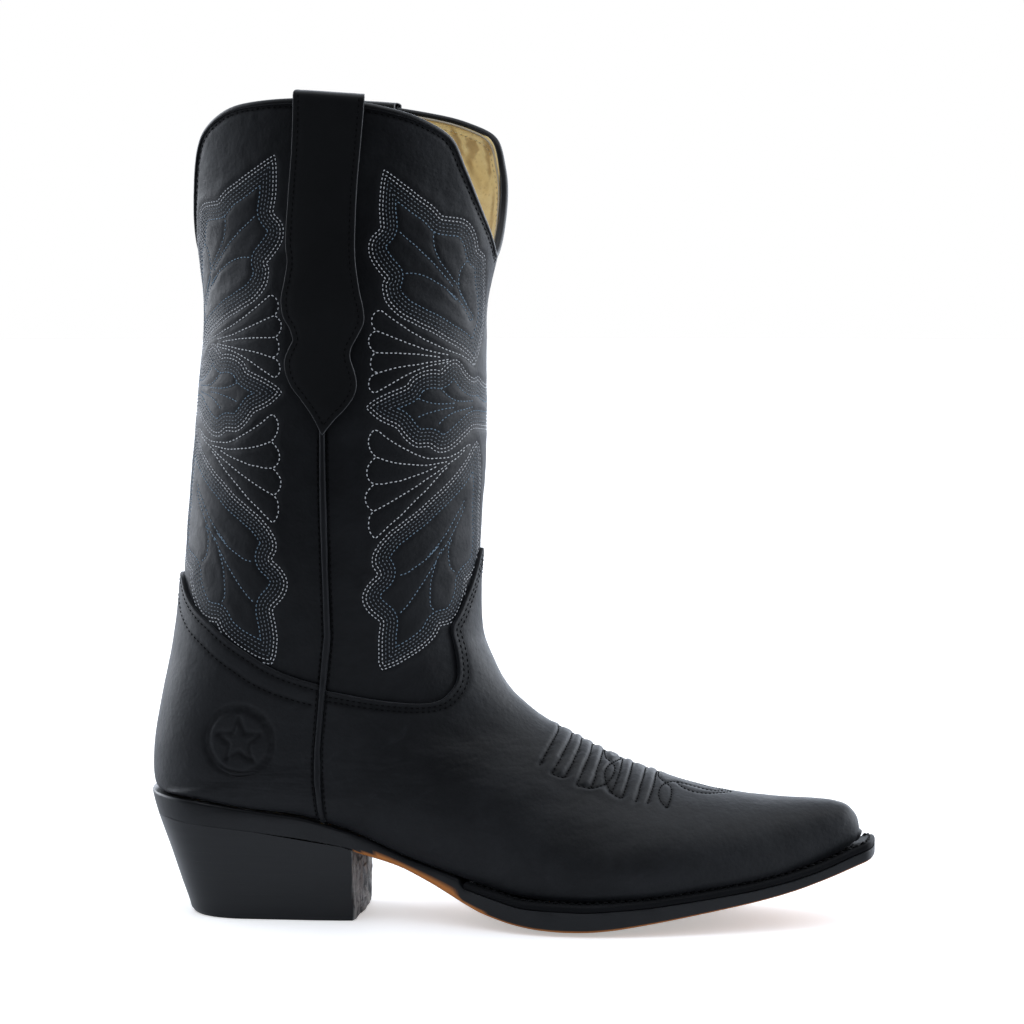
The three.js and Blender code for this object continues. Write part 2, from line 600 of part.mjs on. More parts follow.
// A heel block layer between two heights, following the heel's taper.
function heelLayer(z0, z1, holes, topAt = () => z1) {
  const lower = heelPlan(z0);
  const upper = heelPlan(z1);
  const count = lower.length;
  const points = [
    ...lower.map(([x, y]) => [x, y, z0]),
    ...upper.map(([x, y]) => [x, y, topAt(x)]),
  ];
  const faces = lower.map((_, k) => {
    const k2 = (k + 1) % count;
    return [k, k2, count + k2, count + k];
  });
  faces.push(...zigzagCap(count, count));
  faces.push(...zigzagCap(0, count).map((face) => face.reverse()));
  return fromFaces(points, faces).subtract(holes);
}

// ------------------------------------------------------------------ materials
const LOOKS = {
  blackLeather: { color: 0x1b1d20, roughness: 0.45, metalness: 0 },
  strap: { color: 0x1d1f22, roughness: 0.5, metalness: 0 },
  binding: { color: 0x101113, roughness: 0.4, metalness: 0 },
  lining: { color: 0xd8bd77, roughness: 0.7, metalness: 0 },
  stiffener: { color: 0x8a6a48, roughness: 0.8, metalness: 0 },
  insole: { color: 0xb98d5c, roughness: 0.75, metalness: 0 },
  pad: { color: 0xcfae6a, roughness: 0.8, metalness: 0 },
  cork: { color: 0x9b7348, roughness: 0.95, metalness: 0 },
  steel: { color: 0x8d9094, roughness: 0.35, metalness: 0.9 },
  welt: { color: 0x15161a, roughness: 0.5, metalness: 0 },
  sole: { color: 0xc07a45, roughness: 0.6, metalness: 0 },
  heel: { color: 0x141518, roughness: 0.3, metalness: 0 },
  rubber: { color: 0x17181a, roughness: 0.6, metalness: 0 },
  nail: { color: 0xa8894a, roughness: 0.4, metalness: 0.9 },
  peg: { color: 0xcaa872, roughness: 0.8, metalness: 0 },
};

// ------------------------------------------------------------------ the pieces
const group = new THREE.Group();

function add(name, solid, look, leaning = false) {
  const { vertProperties, triVerts } = solid.getMesh();
  const positions = new THREE.BufferAttribute(new Float32Array(vertProperties), 3);
  if (leaning) {
    for (let i = 0; i < positions.count; i++) {
      positions.setX(i, lean(positions.getX(i), positions.getY(i), positions.getZ(i)));
    }
  }
  const geometry = new THREE.BufferGeometry();
  geometry.setAttribute('position', positions);
  geometry.setIndex(new THREE.BufferAttribute(new Uint32Array(triVerts), 1));
  geometry.computeVertexNormals();
  const mesh = new THREE.Mesh(geometry, new THREE.MeshStandardMaterial(LOOKS[look]));
  mesh.name = name;
  group.add(mesh);
}
const addLeaning = (name, solid, look) => add(name, solid, look, true);

// Splits a solid into its lateral and medial pieces.
function addSides(nameOf, solid, look, addPiece) {
  for (const [side, half] of Object.entries(SIDES)) {
    addPiece(nameOf(side), solid.intersect(half), look);
  }
}

const PEG_SPOTS = {
  lateral: PEG_X.map((x) => [x, -(lerpAt(SOLE_PLAN, x, 1) - PEG_INSET)]),
  medial: PEG_X.map((x) => [x, lerpAt(SOLE_PLAN, x, 2) - PEG_INSET]),
};
const nailHoles = holesAt(NAIL_SPOTS, NAIL_R);
const soleHoles = nailHoles.add(holesAt(Object.values(PEG_SPOTS).flat(), PEG_R));

// ---- shaft
function addShaftPanels() {
  const panel = shell(SHAFT_D, SHAFT_IN).subtract(rimTool(BEAD_H + GAP));
  const front = panel.intersect(frontOf(PANEL_SEAM)).intersect(above(FRONT_PANEL_FOOT));
  const back = panel.intersect(backOf(-PANEL_SEAM)).intersect(above(COUNTER_EDGE, -LAP));
  addLeaning('shaft_panel_front', front, 'blackLeather');
  addLeaning('shaft_panel_back', back, 'blackLeather');
}

function addShaftLinings() {
  const lining = shell(LINING_D, LINING_IN).subtract(rimTool(BEAD_H + GAP));
  const front = lining.intersect(frontOf(LINING_SEAM)).intersect(above(FRONT_PANEL_FOOT, 4));
  const back = lining.intersect(backOf(-LINING_SEAM)).intersect(above(COUNTER_EDGE, -8));
  addLeaning('shaft_lining_front', front, 'lining');
  addLeaning('shaft_lining_back', back, 'lining');
}

// The bead wraps the top line, standing proud of the panel and the lining.
function addTopBead() {
  const proud = 0.5;
  const bead = shell(SHAFT_D - proud, LINING_IN + proud)
    .subtract(rimTool(0)).intersect(rimTool(BEAD_H));
  addLeaning('top_bead_front', bead.intersect(frontOf(GAP)), 'binding');
  addLeaning('top_bead_back', bead.intersect(backOf(-GAP)), 'binding');
}

// A strip level with the panels, thicker over part of its height.
function addUpperSideWelts() {
  const strip = shell(SHAFT_D, SHAFT_IN).intersect(weltBand(95.5, 342.6));
  const thickPart = shell(0.5, SHAFT_IN).intersect(weltBand(107.5, 206.5));
  addSides((side) => `side_welt_${side}_upper`, strip.add(thickPart), 'blackLeather', addLeaning);
}

// ---- pull straps: a facing strip folded over the top, and a backing strip inside it
function addPullStraps() {
  const facingOuter = -1.8;
  const facingInner = LINING_IN + 2.2;
  const shape = sidePrism(STRAP);
  const facing = join([
    shell(facingOuter, -0.2).intersect(shape),
    shell(LINING_IN + 0.8, facingInner).intersect(sidePrism(STRAP_INSIDE)),
    shell(facingOuter, facingInner).intersect(sideBox(16.6, 45.6, 348.9, 350.6)),
  ]);
  const backing = shell(0.1, 1.2).intersect(shape).intersect(sideBox(-FAR, FAR, 211, 348.5));
  addSides((side) => `pull_strap_${side}_facing`, facing, 'strap', addLeaning);
  addSides((side) => `pull_strap_${side}_backing`, backing, 'strap', addLeaning);
}

// ---- foot upper. The vamp and counter turn in under the insole by the lasting margin.
function addFootLeather() {
  const lastingHole = plate({
    x0: -38, x1: 226, inset: toeInset(17), top: overFeather(4), bottom: () => -30,
  });
  const leather = shell(0, VAMP_T).subtract(lastingHole).subtract(soleHoles);
  const vamp = leather.intersect(frontOf(PANEL_SEAM)).intersect(below(VAMP_EDGE));
  const counter = leather.intersect(backOf(-PANEL_SEAM)).intersect(below(COUNTER_EDGE));
  add('vamp', vamp, 'blackLeather');
  add('counter_cover', counter, 'blackLeather');
}

function addLowerSideWelts() {
  const strip = shell(-0.9, VAMP_T).intersect(weltBand(46.5, 105.5));
  addSides((side) => `side_welt_${side}_lower`, strip, 'blackLeather', add);
}

// The linings and stiffeners stand above the insole's top.
function addFootLiningsAndStiffeners() {
  const overInsole = sidePrism([
    ...FEATHER_Z.map(([x, z]) => [x, z + INSOLE_TOP + 0.5]),
    [300, 60], [300, 400], [-100, 400], [-100, 60],
  ]);
  const lining = shell(LINING_D, LINING_IN).intersect(below(FOOT_LINING_TOP))
    .intersect(overInsole);
  const vampLining = lining.intersect(frontOf(GAP)).intersect(sideBox(0, 231, -20, 120));
  add('vamp_lining', vampLining, 'lining');
  add('heel_lining', lining.intersect(backOf(-GAP)), 'lining');

  const stiffener = shell(STIFF_D, STIFF_IN).intersect(overInsole);
  add('heel_counter_stiffener', stiffener.intersect(sidePrism(STIFFENER)), 'stiffener');
  add('toe_box', stiffener.intersect(sidePrism(TOE_BOX)), 'stiffener');
}

// ---- bottom
function addInsole() {
  const insole = plate({
    x0: -44, x1: 234, inset: insoleInset,
    top: overFeather(INSOLE_TOP), bottom: overFeather(INSOLE_D),
  });
  add('insole', insole.subtract(soleHoles), 'insole');
}

function addHeelSeatPad() {
  add('heel_seat_pad', plate({
    x0: -40, x1: 26, inset: (x) => insoleInset(x) + 2.2,
    top: overFeather(INSOLE_TOP + PAD_T), bottom: overFeather(INSOLE_TOP + GAP),
  }), 'pad');
}

// The cork lies inside the turned-in upper and the welt, as deep as both.
function addBottomFiller() {
  add('bottom_filler_cork', plate({
    x0: 92, x1: 222, inset: toeInset(17.6),
    top: overFeather(VAMP_T), bottom: overFeather(-WELT_T),
  }), 'cork');
}

function addShank() {
  add('shank_steel', plate({
    x0: -18, x1: 87, plan: SHANK_PLAN, top: overFeather(1.5), bottom: overFeather(0.1),
  }), 'steel');
}

function addWelt() {
  const full = plate({
    x0: 84, x1: 254.6, top: overFeather(-GAP), bottom: overFeather(-WELT_T),
  });
  const opening = plate({
    x0: 60, x1: 232, inset: () => 16.6, top: () => 80, bottom: () => -20,
  });
  add('welt', full.subtract(opening), 'welt');
}

function addOutsole() {
  const full = plate({
    x0: -55.2, x1: 254.6, top: overFeather(-OUTSOLE_DROP), bottom: underZ, crown: SOLE_CROWN,
  });
  const weltSeat = plate({
    x0: 84 - GAP, x1: 262, plan: WIDE_PLAN, top: () => 90, bottom: overFeather(-WELT_T - GAP),
  });
  add('outsole', full.subtract(weltSeat).subtract(soleHoles), 'sole');
}

// ---- heel: a wedge under the outsole, four lifts numbered from the top, a top lift
// on the ground
function addHeel() {
  const wedgeBottom = HEEL_LIFT_TOPS[HEEL_LIFT_TOPS.length - 1] + GAP;
  const wedgeTop = (x) => Math.min(underZ(x), lerpAt(WEDGE_TOP, x)) - GAP;
  add('heel_wedge', heelLayer(wedgeBottom, HEEL_PLAN_Z, nailHoles, wedgeTop), 'heel');

  let bottom = TOP_LIFT_H + GAP;
  HEEL_LIFT_TOPS.forEach((top, i) => {
    const number = HEEL_LIFT_TOPS.length - i;
    add(`heel_lift_${number}`, heelLayer(bottom, top, nailHoles), 'heel');
    bottom = top + GAP;
  });
  add('heel_top_lift', heelLayer(0, TOP_LIFT_H, holesAt(BRAD_SPOTS, BRAD_R)), 'rubber');
}

// ---- fasteners
function addFasteners() {
  NAIL_SPOTS.forEach(([x, y], i) => {
    const top = featherZ(x) + INSOLE_TOP - 0.4;
    add(`heel_nail_${i + 1}`, rod(x, y, NAIL_Z0, top, NAIL_R), 'nail');
  });
  BRAD_SPOTS.forEach(([x, y], i) => {
    add(`top_lift_brad_${i + 1}`, rod(x, y, ...BRAD_Z, BRAD_R), 'nail');
  });
  for (const [side, spots] of Object.entries(PEG_SPOTS)) {
    spots.forEach(([x, y], i) => {
      const peg = rod(x, y, underZ(x) + 1.0, featherZ(x) + 4.4, PEG_R);
      add(`waist_peg_${side}_${i + 1}`, peg, 'peg');
    });
  }
}

addShaftPanels();
addShaftLinings();
addTopBead();
addUpperSideWelts();
addPullStraps();
addFootLeather();
addLowerSideWelts();
addFootLiningsAndStiffeners();
addInsole();
addHeelSeatPad();
addBottomFiller();
addShank();
addWelt();
addOutsole();
addHeel();
addFasteners();

export default group;
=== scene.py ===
"""A tall western boot: leather shells, threads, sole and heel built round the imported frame.

The toe points along +X, the shaft rises along +Z, the inner side is +Y and the outer side -Y;
the heel stands on z = 0. Shapes are in millimetres, lights and camera in metres. The upper is
laid out in two flat charts, each with two coordinates:
  girth  mm round from the front line (back chart: from the back line), + on the inner side
  drop   mm down the boot from the top, running on along the foot to the toe
Depth is measured inward from the outermost surface; a negative depth stands proud of it.
"""
import json
import math
from functools import lru_cache
import bpy
import numpy as np
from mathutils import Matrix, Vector
from mathutils.geometry import delaunay_2d_cdt
from mathutils.kdtree import KDTree

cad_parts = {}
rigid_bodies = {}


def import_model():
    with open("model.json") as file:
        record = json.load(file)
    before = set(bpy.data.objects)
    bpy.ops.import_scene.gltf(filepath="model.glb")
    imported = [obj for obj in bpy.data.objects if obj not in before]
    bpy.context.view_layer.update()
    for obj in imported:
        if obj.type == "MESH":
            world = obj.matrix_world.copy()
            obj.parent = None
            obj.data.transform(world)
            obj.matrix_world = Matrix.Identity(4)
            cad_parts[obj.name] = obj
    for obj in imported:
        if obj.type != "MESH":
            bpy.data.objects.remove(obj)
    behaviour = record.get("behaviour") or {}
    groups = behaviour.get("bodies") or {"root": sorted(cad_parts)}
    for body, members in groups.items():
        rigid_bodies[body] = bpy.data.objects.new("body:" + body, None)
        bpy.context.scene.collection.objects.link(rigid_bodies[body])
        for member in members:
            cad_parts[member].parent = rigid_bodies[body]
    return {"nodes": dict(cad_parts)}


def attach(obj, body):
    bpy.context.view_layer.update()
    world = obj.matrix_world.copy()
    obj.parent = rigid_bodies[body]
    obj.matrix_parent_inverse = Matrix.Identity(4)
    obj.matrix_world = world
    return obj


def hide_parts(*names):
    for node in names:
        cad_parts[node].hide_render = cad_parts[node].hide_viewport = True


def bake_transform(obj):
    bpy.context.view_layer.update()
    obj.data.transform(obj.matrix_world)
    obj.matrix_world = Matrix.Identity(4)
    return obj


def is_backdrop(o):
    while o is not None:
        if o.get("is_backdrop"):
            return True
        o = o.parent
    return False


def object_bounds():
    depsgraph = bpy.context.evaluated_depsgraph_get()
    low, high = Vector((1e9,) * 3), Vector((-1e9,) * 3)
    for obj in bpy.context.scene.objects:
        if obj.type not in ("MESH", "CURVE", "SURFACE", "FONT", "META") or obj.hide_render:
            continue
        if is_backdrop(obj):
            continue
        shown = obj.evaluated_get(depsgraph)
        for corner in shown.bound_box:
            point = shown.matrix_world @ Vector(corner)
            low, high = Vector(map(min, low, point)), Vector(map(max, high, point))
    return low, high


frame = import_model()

NODES = frame["nodes"]
for default in list(bpy.data.objects):          # what a fresh file starts with
    if default.name in ("Cube", "Light", "Camera") and default not in list(NODES.values()):
        bpy.data.objects.remove(default, do_unlink=True)
CAD_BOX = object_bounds()
MM = 0.001
OUTER, INNER = -1, 1                 # the side of the boot, as the sign of y
SIDES = ((OUTER, "lateral"), (INNER, "medial"))

# ------------------------------------------------------------------ the upper's surface
# Half sections: front point (x, z), back or feather point (x, z), half width outer and inner,
# feather half width outer and inner, share of the depth at the widest place, then exponents
# of the front arc (along, out) and of the back arc (along, out).
STATIONS = np.array([
    [102.5,356.0, -40.5,356.0, 49.5,49.5,  0.0, 0.0, 0.50, 2.00,2.00,2.00,2.00],
    [103.0,332.0, -41.5,332.0, 49.5,49.5,  0.0, 0.0, 0.50, 2.00,2.00,2.00,2.00],
    [101.0,308.0, -39.8,308.0, 49.5,49.5,  0.0, 0.0, 0.50, 2.00,2.00,2.00,2.00],
    [ 97.0,284.0, -36.0,285.0, 49.5,49.5,  0.0, 0.0, 0.50, 2.00,2.00,2.00,2.00],
    [ 92.3,262.0, -33.8,262.0, 49.8,49.8,  0.0, 0.0, 0.50, 2.00,2.00,2.00,2.00],
    [ 92.2,238.0, -35.0,238.0, 50.0,50.0,  0.0, 0.0, 0.50, 2.00,2.00,2.00,2.00],
    [ 92.0,212.0, -37.5,212.0, 50.0,50.0,  0.0, 0.0, 0.50, 2.00,2.00,2.00,2.00],
    [ 90.9,184.0, -40.2,184.0, 49.0,49.0,  0.0, 0.0, 0.50, 2.00,2.00,2.05,2.00],
    [ 89.2,160.0, -42.4,157.0, 47.0,47.0,  0.0, 0.0, 0.49, 2.00,2.00,2.15,2.00],
    [ 88.0,140.0, -44.0,134.0, 44.5,44.5,  0.0, 0.0, 0.48, 1.95,2.00,2.40,2.00],
    [ 88.8,124.0, -47.2,112.0, 41.8,41.8,  0.0, 0.0, 0.46, 1.90,2.00,2.90,2.00],
    [ 92.7,111.0, -52.0, 90.0, 39.2,38.9,  0.0, 0.0, 0.44, 1.80,2.00,3.60,2.00],
    [ 98.8,100.8, -55.0, 70.0, 37.4,37.0,  0.0, 0.0, 0.42, 1.70,2.00,4.20,2.00],
    [106.0, 92.6, -53.7, 53.6, 36.8,36.2,  2.0, 2.0, 0.40, 1.65,2.00,4.60,2.00],
    [114.0, 86.4, -46.5, 53.0, 36.8,36.0, 19.0,19.0, 0.40, 1.60,2.00,4.60,2.00],
    [122.0, 81.4, -30.0, 51.0, 37.0,36.0, 28.5,28.0, 0.40, 1.60,2.00,4.00,2.00],
    [130.0, 77.0,  -8.0, 47.8, 37.5,36.0, 30.5,29.5, 0.42, 1.60,2.00,3.00,1.60],
    [138.0, 72.8,  15.0, 45.0, 38.5,37.0, 29.5,28.0, 0.45, 1.60,2.00,2.60,1.50],
    [146.0, 69.2,  38.0, 38.0, 40.0,38.5, 27.5,25.0, 0.50, 1.60,1.95,2.40,1.40],
    [154.0, 66.0,  60.0, 27.8, 42.0,40.5, 27.0,23.5, 0.55, 1.60,1.90,2.20,1.40],
    [162.0, 63.1,  85.0, 20.0, 44.5,43.5, 32.0,27.0, 0.60, 1.60,1.90,2.20,1.40],
    [172.0, 60.0, 110.0, 14.0, 47.5,47.0, 41.5,38.0, 0.68, 1.65,1.90,2.20,1.40],
    [184.0, 56.9, 138.0, 13.4, 48.5,48.0, 47.0,45.5, 0.76, 1.70,1.90,2.20,1.50],
    [197.0, 54.6, 164.0, 15.2, 44.5,44.5, 44.5,44.5, 0.82, 1.80,1.90,2.20,1.50],
    [210.0, 53.1, 187.0, 18.0, 37.0,38.5, 37.5,39.0, 0.86, 1.90,1.95,2.20,1.50],
    [221.5, 52.6, 205.0, 20.4, 29.5,32.0, 30.0,32.5, 0.88, 2.00,2.00,2.20,1.50],
    [231.5, 52.2, 220.0, 23.4, 22.5,26.0, 22.8,26.5, 0.90, 2.10,2.10,2.20,1.50],
    [240.0, 51.2, 232.0, 26.8, 16.0,19.8, 16.2,20.0, 0.90, 2.20,2.20,2.20,1.50],
    [245.8, 48.6, 241.0, 30.3, 10.5,14.5, 10.8,14.6, 0.90, 2.30,2.30,2.20,1.50],
    [248.9, 44.4, 245.8, 32.6,  6.5, 9.5,  6.8, 9.6, 0.90, 2.30,2.30,2.20,1.50],
    [250.0, 39.6, 249.2, 34.6,  3.0, 4.8,  3.0, 4.8, 0.90, 2.30,2.30,2.20,1.50],
])
SECTIONS, HALF_STEPS = 1000, 180     # sections along the boot, steps on a half section


def unit(v):
    return v / np.maximum(1e-9, np.linalg.norm(v, axis=-1))[..., None]


def spline(knots, values, at_knots):
    """Cubic through rows of values, with the slopes of the three-point rule."""
    gap = np.diff(knots)[:, None]
    rise = np.diff(values, axis=0) / gap
    slope = np.zeros_like(values)
    slope[1:-1] = (rise[:-1] * gap[1:] + rise[1:] * gap[:-1]) / (gap[:-1] + gap[1:])
    slope[0], slope[-1] = rise[0], rise[-1]
    q = np.clip(at_knots, knots[0], knots[-1])
    i = np.clip(np.searchsorted(knots, q, side="right") - 1, 0, len(knots) - 2)
    width = knots[i + 1] - knots[i]
    t = ((q - knots[i]) / width)[:, None]
    width = width[:, None]
    t2, t3 = t * t, t * t * t
    return ((2 * t3 - 3 * t2 + 1) * values[i] + (t3 - 2 * t2 + t) * width * slope[i]
            + (-2 * t3 + 3 * t2) * values[i + 1] + (t3 - t2) * width * slope[i + 1])


def smoothstep(start, end, value):
    t = np.clip((np.asarray(value, float) - start) / (end - start), 0, 1)
    return t * t * (3 - 2 * t)


def blur(a, sigma, axis=0):
    """Gaussian blur along an axis; the ends are carried on by reflection through the end point."""
    reach = int(max(1, round(3 * sigma)))
    kernel = np.exp(-0.5 * (np.arange(-reach, reach + 1) / sigma) ** 2)
    kernel /= kernel.sum()
    a = np.moveaxis(a, axis, 0)
    before = 2 * a[0] - a[1:reach + 1][::-1]
    after = 2 * a[-1] - a[-reach - 1:-1][::-1]
    padded = np.concatenate([before, a, after])
    out = np.zeros_like(a)
    for i, weight in enumerate(kernel):
        out += weight * padded[i:i + len(a)]
    return np.moveaxis(out, 0, axis)


def station_drops():
    """How far down the boot each station lies: the mean of the way along front and back."""
    front = np.linalg.norm(np.diff(STATIONS[:, 0:2], axis=0), axis=1)
    back = np.linalg.norm(np.diff(STATIONS[:, 2:4], axis=0), axis=1)
    return np.concatenate([[0], np.cumsum(0.5 * front + 0.5 * back)])


STATION_DROP = station_drops()
DROP_MAX = float(STATION_DROP[-1])


def half_section(station, side):
    """Evenly spaced points of one half section, from the front point to the feather point."""
    feather = max(0.0, station[6] if side < 0 else station[7])
    width = max(feather, station[4] if side < 0 else station[5])
    widest, front_along, front_out, back_along, back_out = station[8:13]
    angle = np.linspace(0, np.pi / 2, 240)
    cos, sin = np.clip(np.cos(angle), 0, 1), np.sin(angle)
    share = np.concatenate([widest * (1 - cos ** (2 / front_along)),
                            (widest + (1 - widest) * sin ** (2 / back_along))[1:]])
    out = np.concatenate([width * sin ** (2 / front_out),
                          (feather + (width - feather) * cos ** (2 / back_out))[1:]])
    front, back = station[0:2], station[2:4]
    span = np.linalg.norm(back - front)
    run = np.concatenate([[0], np.cumsum(np.hypot(np.diff(share) * span, np.diff(out)))])
    even = np.linspace(0, run[-1], HALF_STEPS + 1)
    share, out = np.interp(even, run, share), np.interp(even, run, out)
    return np.stack([front[0] + (back[0] - front[0]) * share, side * out,
                     front[1] + (back[1] - front[1]) * share], 1)


def build_surface():
    """Drops, points and outward normals of the surface grid, and its half girth at each drop."""
    drops = np.linspace(0, DROP_MAX, SECTIONS)
    stations = spline(STATION_DROP, STATIONS, drops)
    rough = np.zeros((SECTIONS, 2 * HALF_STEPS + 1, 3))
    for i, station in enumerate(stations):
        rough[i, :HALF_STEPS + 1] = half_section(station, OUTER)[::-1]
        rough[i, HALF_STEPS:] = half_section(station, INNER)
    # soften the joins between the two arcs of each section and between stations
    grid = blur(blur(rough, 4.0, 1), 7.0, 0)
    keep = smoothstep(DROP_MAX - 4, DROP_MAX - 40, drops)[:, None, None]
    grid = rough + (grid - rough) * keep
    grid[:, HALF_STEPS, 1] = 0
    closed = stations[:, 6] < 0.05
    grid[closed, 0, 1] = grid[closed, -1, 1] = 0
    grid[closed, 0] = grid[closed, -1] = (grid[closed, 0] + grid[closed, -1]) / 2
    half_girth = blur(0.5 * np.linalg.norm(np.diff(grid, axis=1), axis=2).sum(1), 3.0)
    down = np.gradient(grid, axis=0)
    across = np.gradient(grid, axis=1)
    # round the closed rings the difference runs across the back line
    across[closed, 0] = across[closed, -1] = (grid[closed, 1] - grid[closed, -2]) / 2
    return drops, grid, unit(np.cross(down, across)), half_girth


SURF_DROP, SURF_POINT, SURF_NORMAL, SURF_HALF = build_surface()


def half_at(drop):
    """Half girth of the boot at a drop: from the front line to the back or feather line."""
    return np.interp(drop, SURF_DROP, SURF_HALF)


def surf(girth, drop):
    """Point and outward normal at a place in the front chart."""
    girth, drop = np.asarray(girth, float), np.asarray(drop, float)
    col = np.clip(girth / half_at(drop), -1, 1) * HALF_STEPS + HALF_STEPS
    row = np.clip(drop / DROP_MAX, 0, 1) * (SECTIONS - 1)
    i = np.clip(row.astype(int), 0, SECTIONS - 2)
    j = np.clip(col.astype(int), 0, 2 * HALF_STEPS - 1)
    di, dj = (row - i)[..., None], (col - j)[..., None]

    def between(grid):
        return (grid[i, j] * (1 - di) * (1 - dj) + grid[i + 1, j] * di * (1 - dj)
                + grid[i, j + 1] * (1 - di) * dj + grid[i + 1, j + 1] * di * dj)
    return between(SURF_POINT), unit(between(SURF_NORMAL))


def lean(p):
    """The collar's lean: the outer side of the front sits back, the inner side forward."""
    p = np.array(p, float)
    most = np.where(p[..., 1] > 0, 8.5, 5.0)
    p[..., 0] += (most * smoothstep(262, 318, p[..., 2]) * smoothstep(40, 92, p[..., 0])
                  * np.clip(p[..., 1] / 32, -1, 1))
    return p


def at(girth, drop, depth=0.0):
    """World point of a front chart place at a depth."""
    p, normal = surf(girth, drop)
    return lean(p - normal * np.asarray(depth, float)[..., None])


TOE_TIP = np.array([249.7, 0.9, 37.2])


def front_map(girth, drop, depth):
    """Front chart to world; past the toe end the sheet closes over the tip."""
    past = np.clip(drop - DROP_MAX, 0, 2.75)[..., None]
    share = past / 3.0
    p, normal = surf(girth, drop)
    shrink = np.sqrt(np.clip(1 - (share * 0.98) ** 2, 0, 1))
    tip = TOE_TIP + (p - TOE_TIP) * shrink + np.array([1.6, 0, 0]) * share
    p = np.where(past > 0, tip, p)
    ahead = unit(normal * (1 - share) + np.array([1.0, 0, 0]) * share)
    normal = np.where(past > 0, ahead, normal)
    return lean(p - normal * depth[..., None])


def from_back(girth, drop):
    """Girth in the front chart of a back chart place."""
    return np.where(girth >= 0, half_at(drop) - girth, -half_at(drop) - girth)


def to_back(girth, drop):
    """Girth in the back chart of a front chart place."""
    return np.where(girth > 0, half_at(drop) - girth, -half_at(drop) - girth)


def back_line(line):
    return np.stack([to_back(line[:, 0], line[:, 1]), line[:, 1]], 1)


def back_map(girth, drop, depth):
    """Back chart to world."""
    return at(from_back(girth, drop), drop, depth)


CHART_MAP = {"front": front_map, "back": back_map}


# ------------------------------------------------------------------ plane curves
def points(*flat):
    """Pairs of numbers as rows of points."""
    return np.array(flat, float).reshape(-1, 2)


def arc_length(p):
    return np.concatenate([[0], np.cumsum(np.linalg.norm(np.diff(p, axis=0), axis=1))])


def interp_rows(q, s, rows):
    return np.stack([np.interp(q, s, rows[:, i]) for i in range(rows.shape[1])], 1)


def resample(p, step=None, closed=False, count=None):
    """Evenly spaced points along a curve, by step or by count."""
    p = np.asarray(p, float)
    if closed:
        p = np.vstack([p, p[:1]])
    s = arc_length(p)
    moved = np.concatenate([[True], np.diff(s) > 1e-9])
    p, s = p[moved], s[moved]
    q = np.linspace(0, s[-1], (count or max(2, int(round(s[-1] / step)))) + 1)
    return interp_rows(q[:-1] if closed else q, s, p)


def smooth_curve(p, step, closed=False, corner=None):
    """Centripetal Catmull-Rom curve, resampled; turns of more than corner degrees stay sharp."""
    p = np.asarray(p, float)
    n = len(p)

    def point(i):
        if closed:
            return p[i % n]
        if i < 0:
            return 2 * p[0] - p[1]
        if i >= n:
            return 2 * p[-1] - p[-2]
        return p[i]

    def sharp(i):
        if corner is None or (not closed and (i <= 0 or i >= n - 1)):
            return False
        before, after = point(i) - point(i - 1), point(i + 1) - point(i)
        size = max(1e-9, np.linalg.norm(before) * np.linalg.norm(after))
        return math.degrees(math.acos(max(-1, min(1, np.dot(before, after) / size)))) > corner

    def knot_gap(a, b):
        return max(1e-6, np.linalg.norm(b - a)) ** 0.5

    out = []
    for i in range(n if closed else n - 1):
        p0, p1, p2, p3 = (point(i + k) for k in (-1, 0, 1, 2))
        if sharp(i):
            p0 = 2 * p1 - p2
        if sharp(i + 1):
            p3 = 2 * p2 - p1
        t0 = 0.0
        t1 = t0 + knot_gap(p0, p1)
        t2 = t1 + knot_gap(p1, p2)
        t3 = t2 + knot_gap(p2, p3)
        count = max(2, int(np.linalg.norm(p2 - p1) / (step * 0.5)))
        t = np.linspace(t1, t2, count, endpoint=False)[:, None]
        a1 = (t1 - t) / (t1 - t0) * p0 + (t - t0) / (t1 - t0) * p1
        a2 = (t2 - t) / (t2 - t1) * p1 + (t - t1) / (t2 - t1) * p2
        a3 = (t3 - t) / (t3 - t2) * p2 + (t - t2) / (t3 - t2) * p3
        b1 = (t2 - t) / (t2 - t0) * a1 + (t - t0) / (t2 - t0) * a2
        b2 = (t3 - t) / (t3 - t1) * a2 + (t - t1) / (t3 - t1) * a3
        out.append((t2 - t) / (t2 - t1) * b1 + (t - t1) / (t2 - t1) * b2)
    if not closed:
        out.append(p[-1:])
    return resample(np.vstack(out), step, closed)


def ccw(p):
    """The closed outline, turned counter-clockwise."""
    x, y = p[:, 0], p[:, 1]
    return p if np.sum(x * np.roll(y, -1) - y * np.roll(x, -1)) > 0 else p[::-1]


def mirror(line):
    return np.stack([-line[:, 0], line[:, 1]], 1)[::-1]


def left_of(v):
    return np.stack([-v[:, 1], v[:, 0]], 1)


def edge_ways(p):
    """Unit directions into and out of each point of a closed outline."""
    return unit(p - np.roll(p, 1, 0)), unit(np.roll(p, -1, 0) - p)


def inset(p, distance):
    """Closed counter-clockwise outline moved in, mitred at corners."""
    before, after = map(left_of, edge_ways(p))
    mid = before + after
    mid = mid / np.maximum(0.5, np.linalg.norm(mid, axis=1))[:, None]
    mitre = np.clip(1 / np.maximum(0.35, np.sum(mid * before, 1)), 1, 2.2)
    return p + mid * (distance * mitre)[:, None]


def runs(line, keep):
    """Stretches of neighbouring kept points."""
    cuts = np.nonzero(np.diff(keep))[0] + 1
    return [run for run, kept in zip(np.split(line, cuts), np.split(keep, cuts)) if kept[0]]


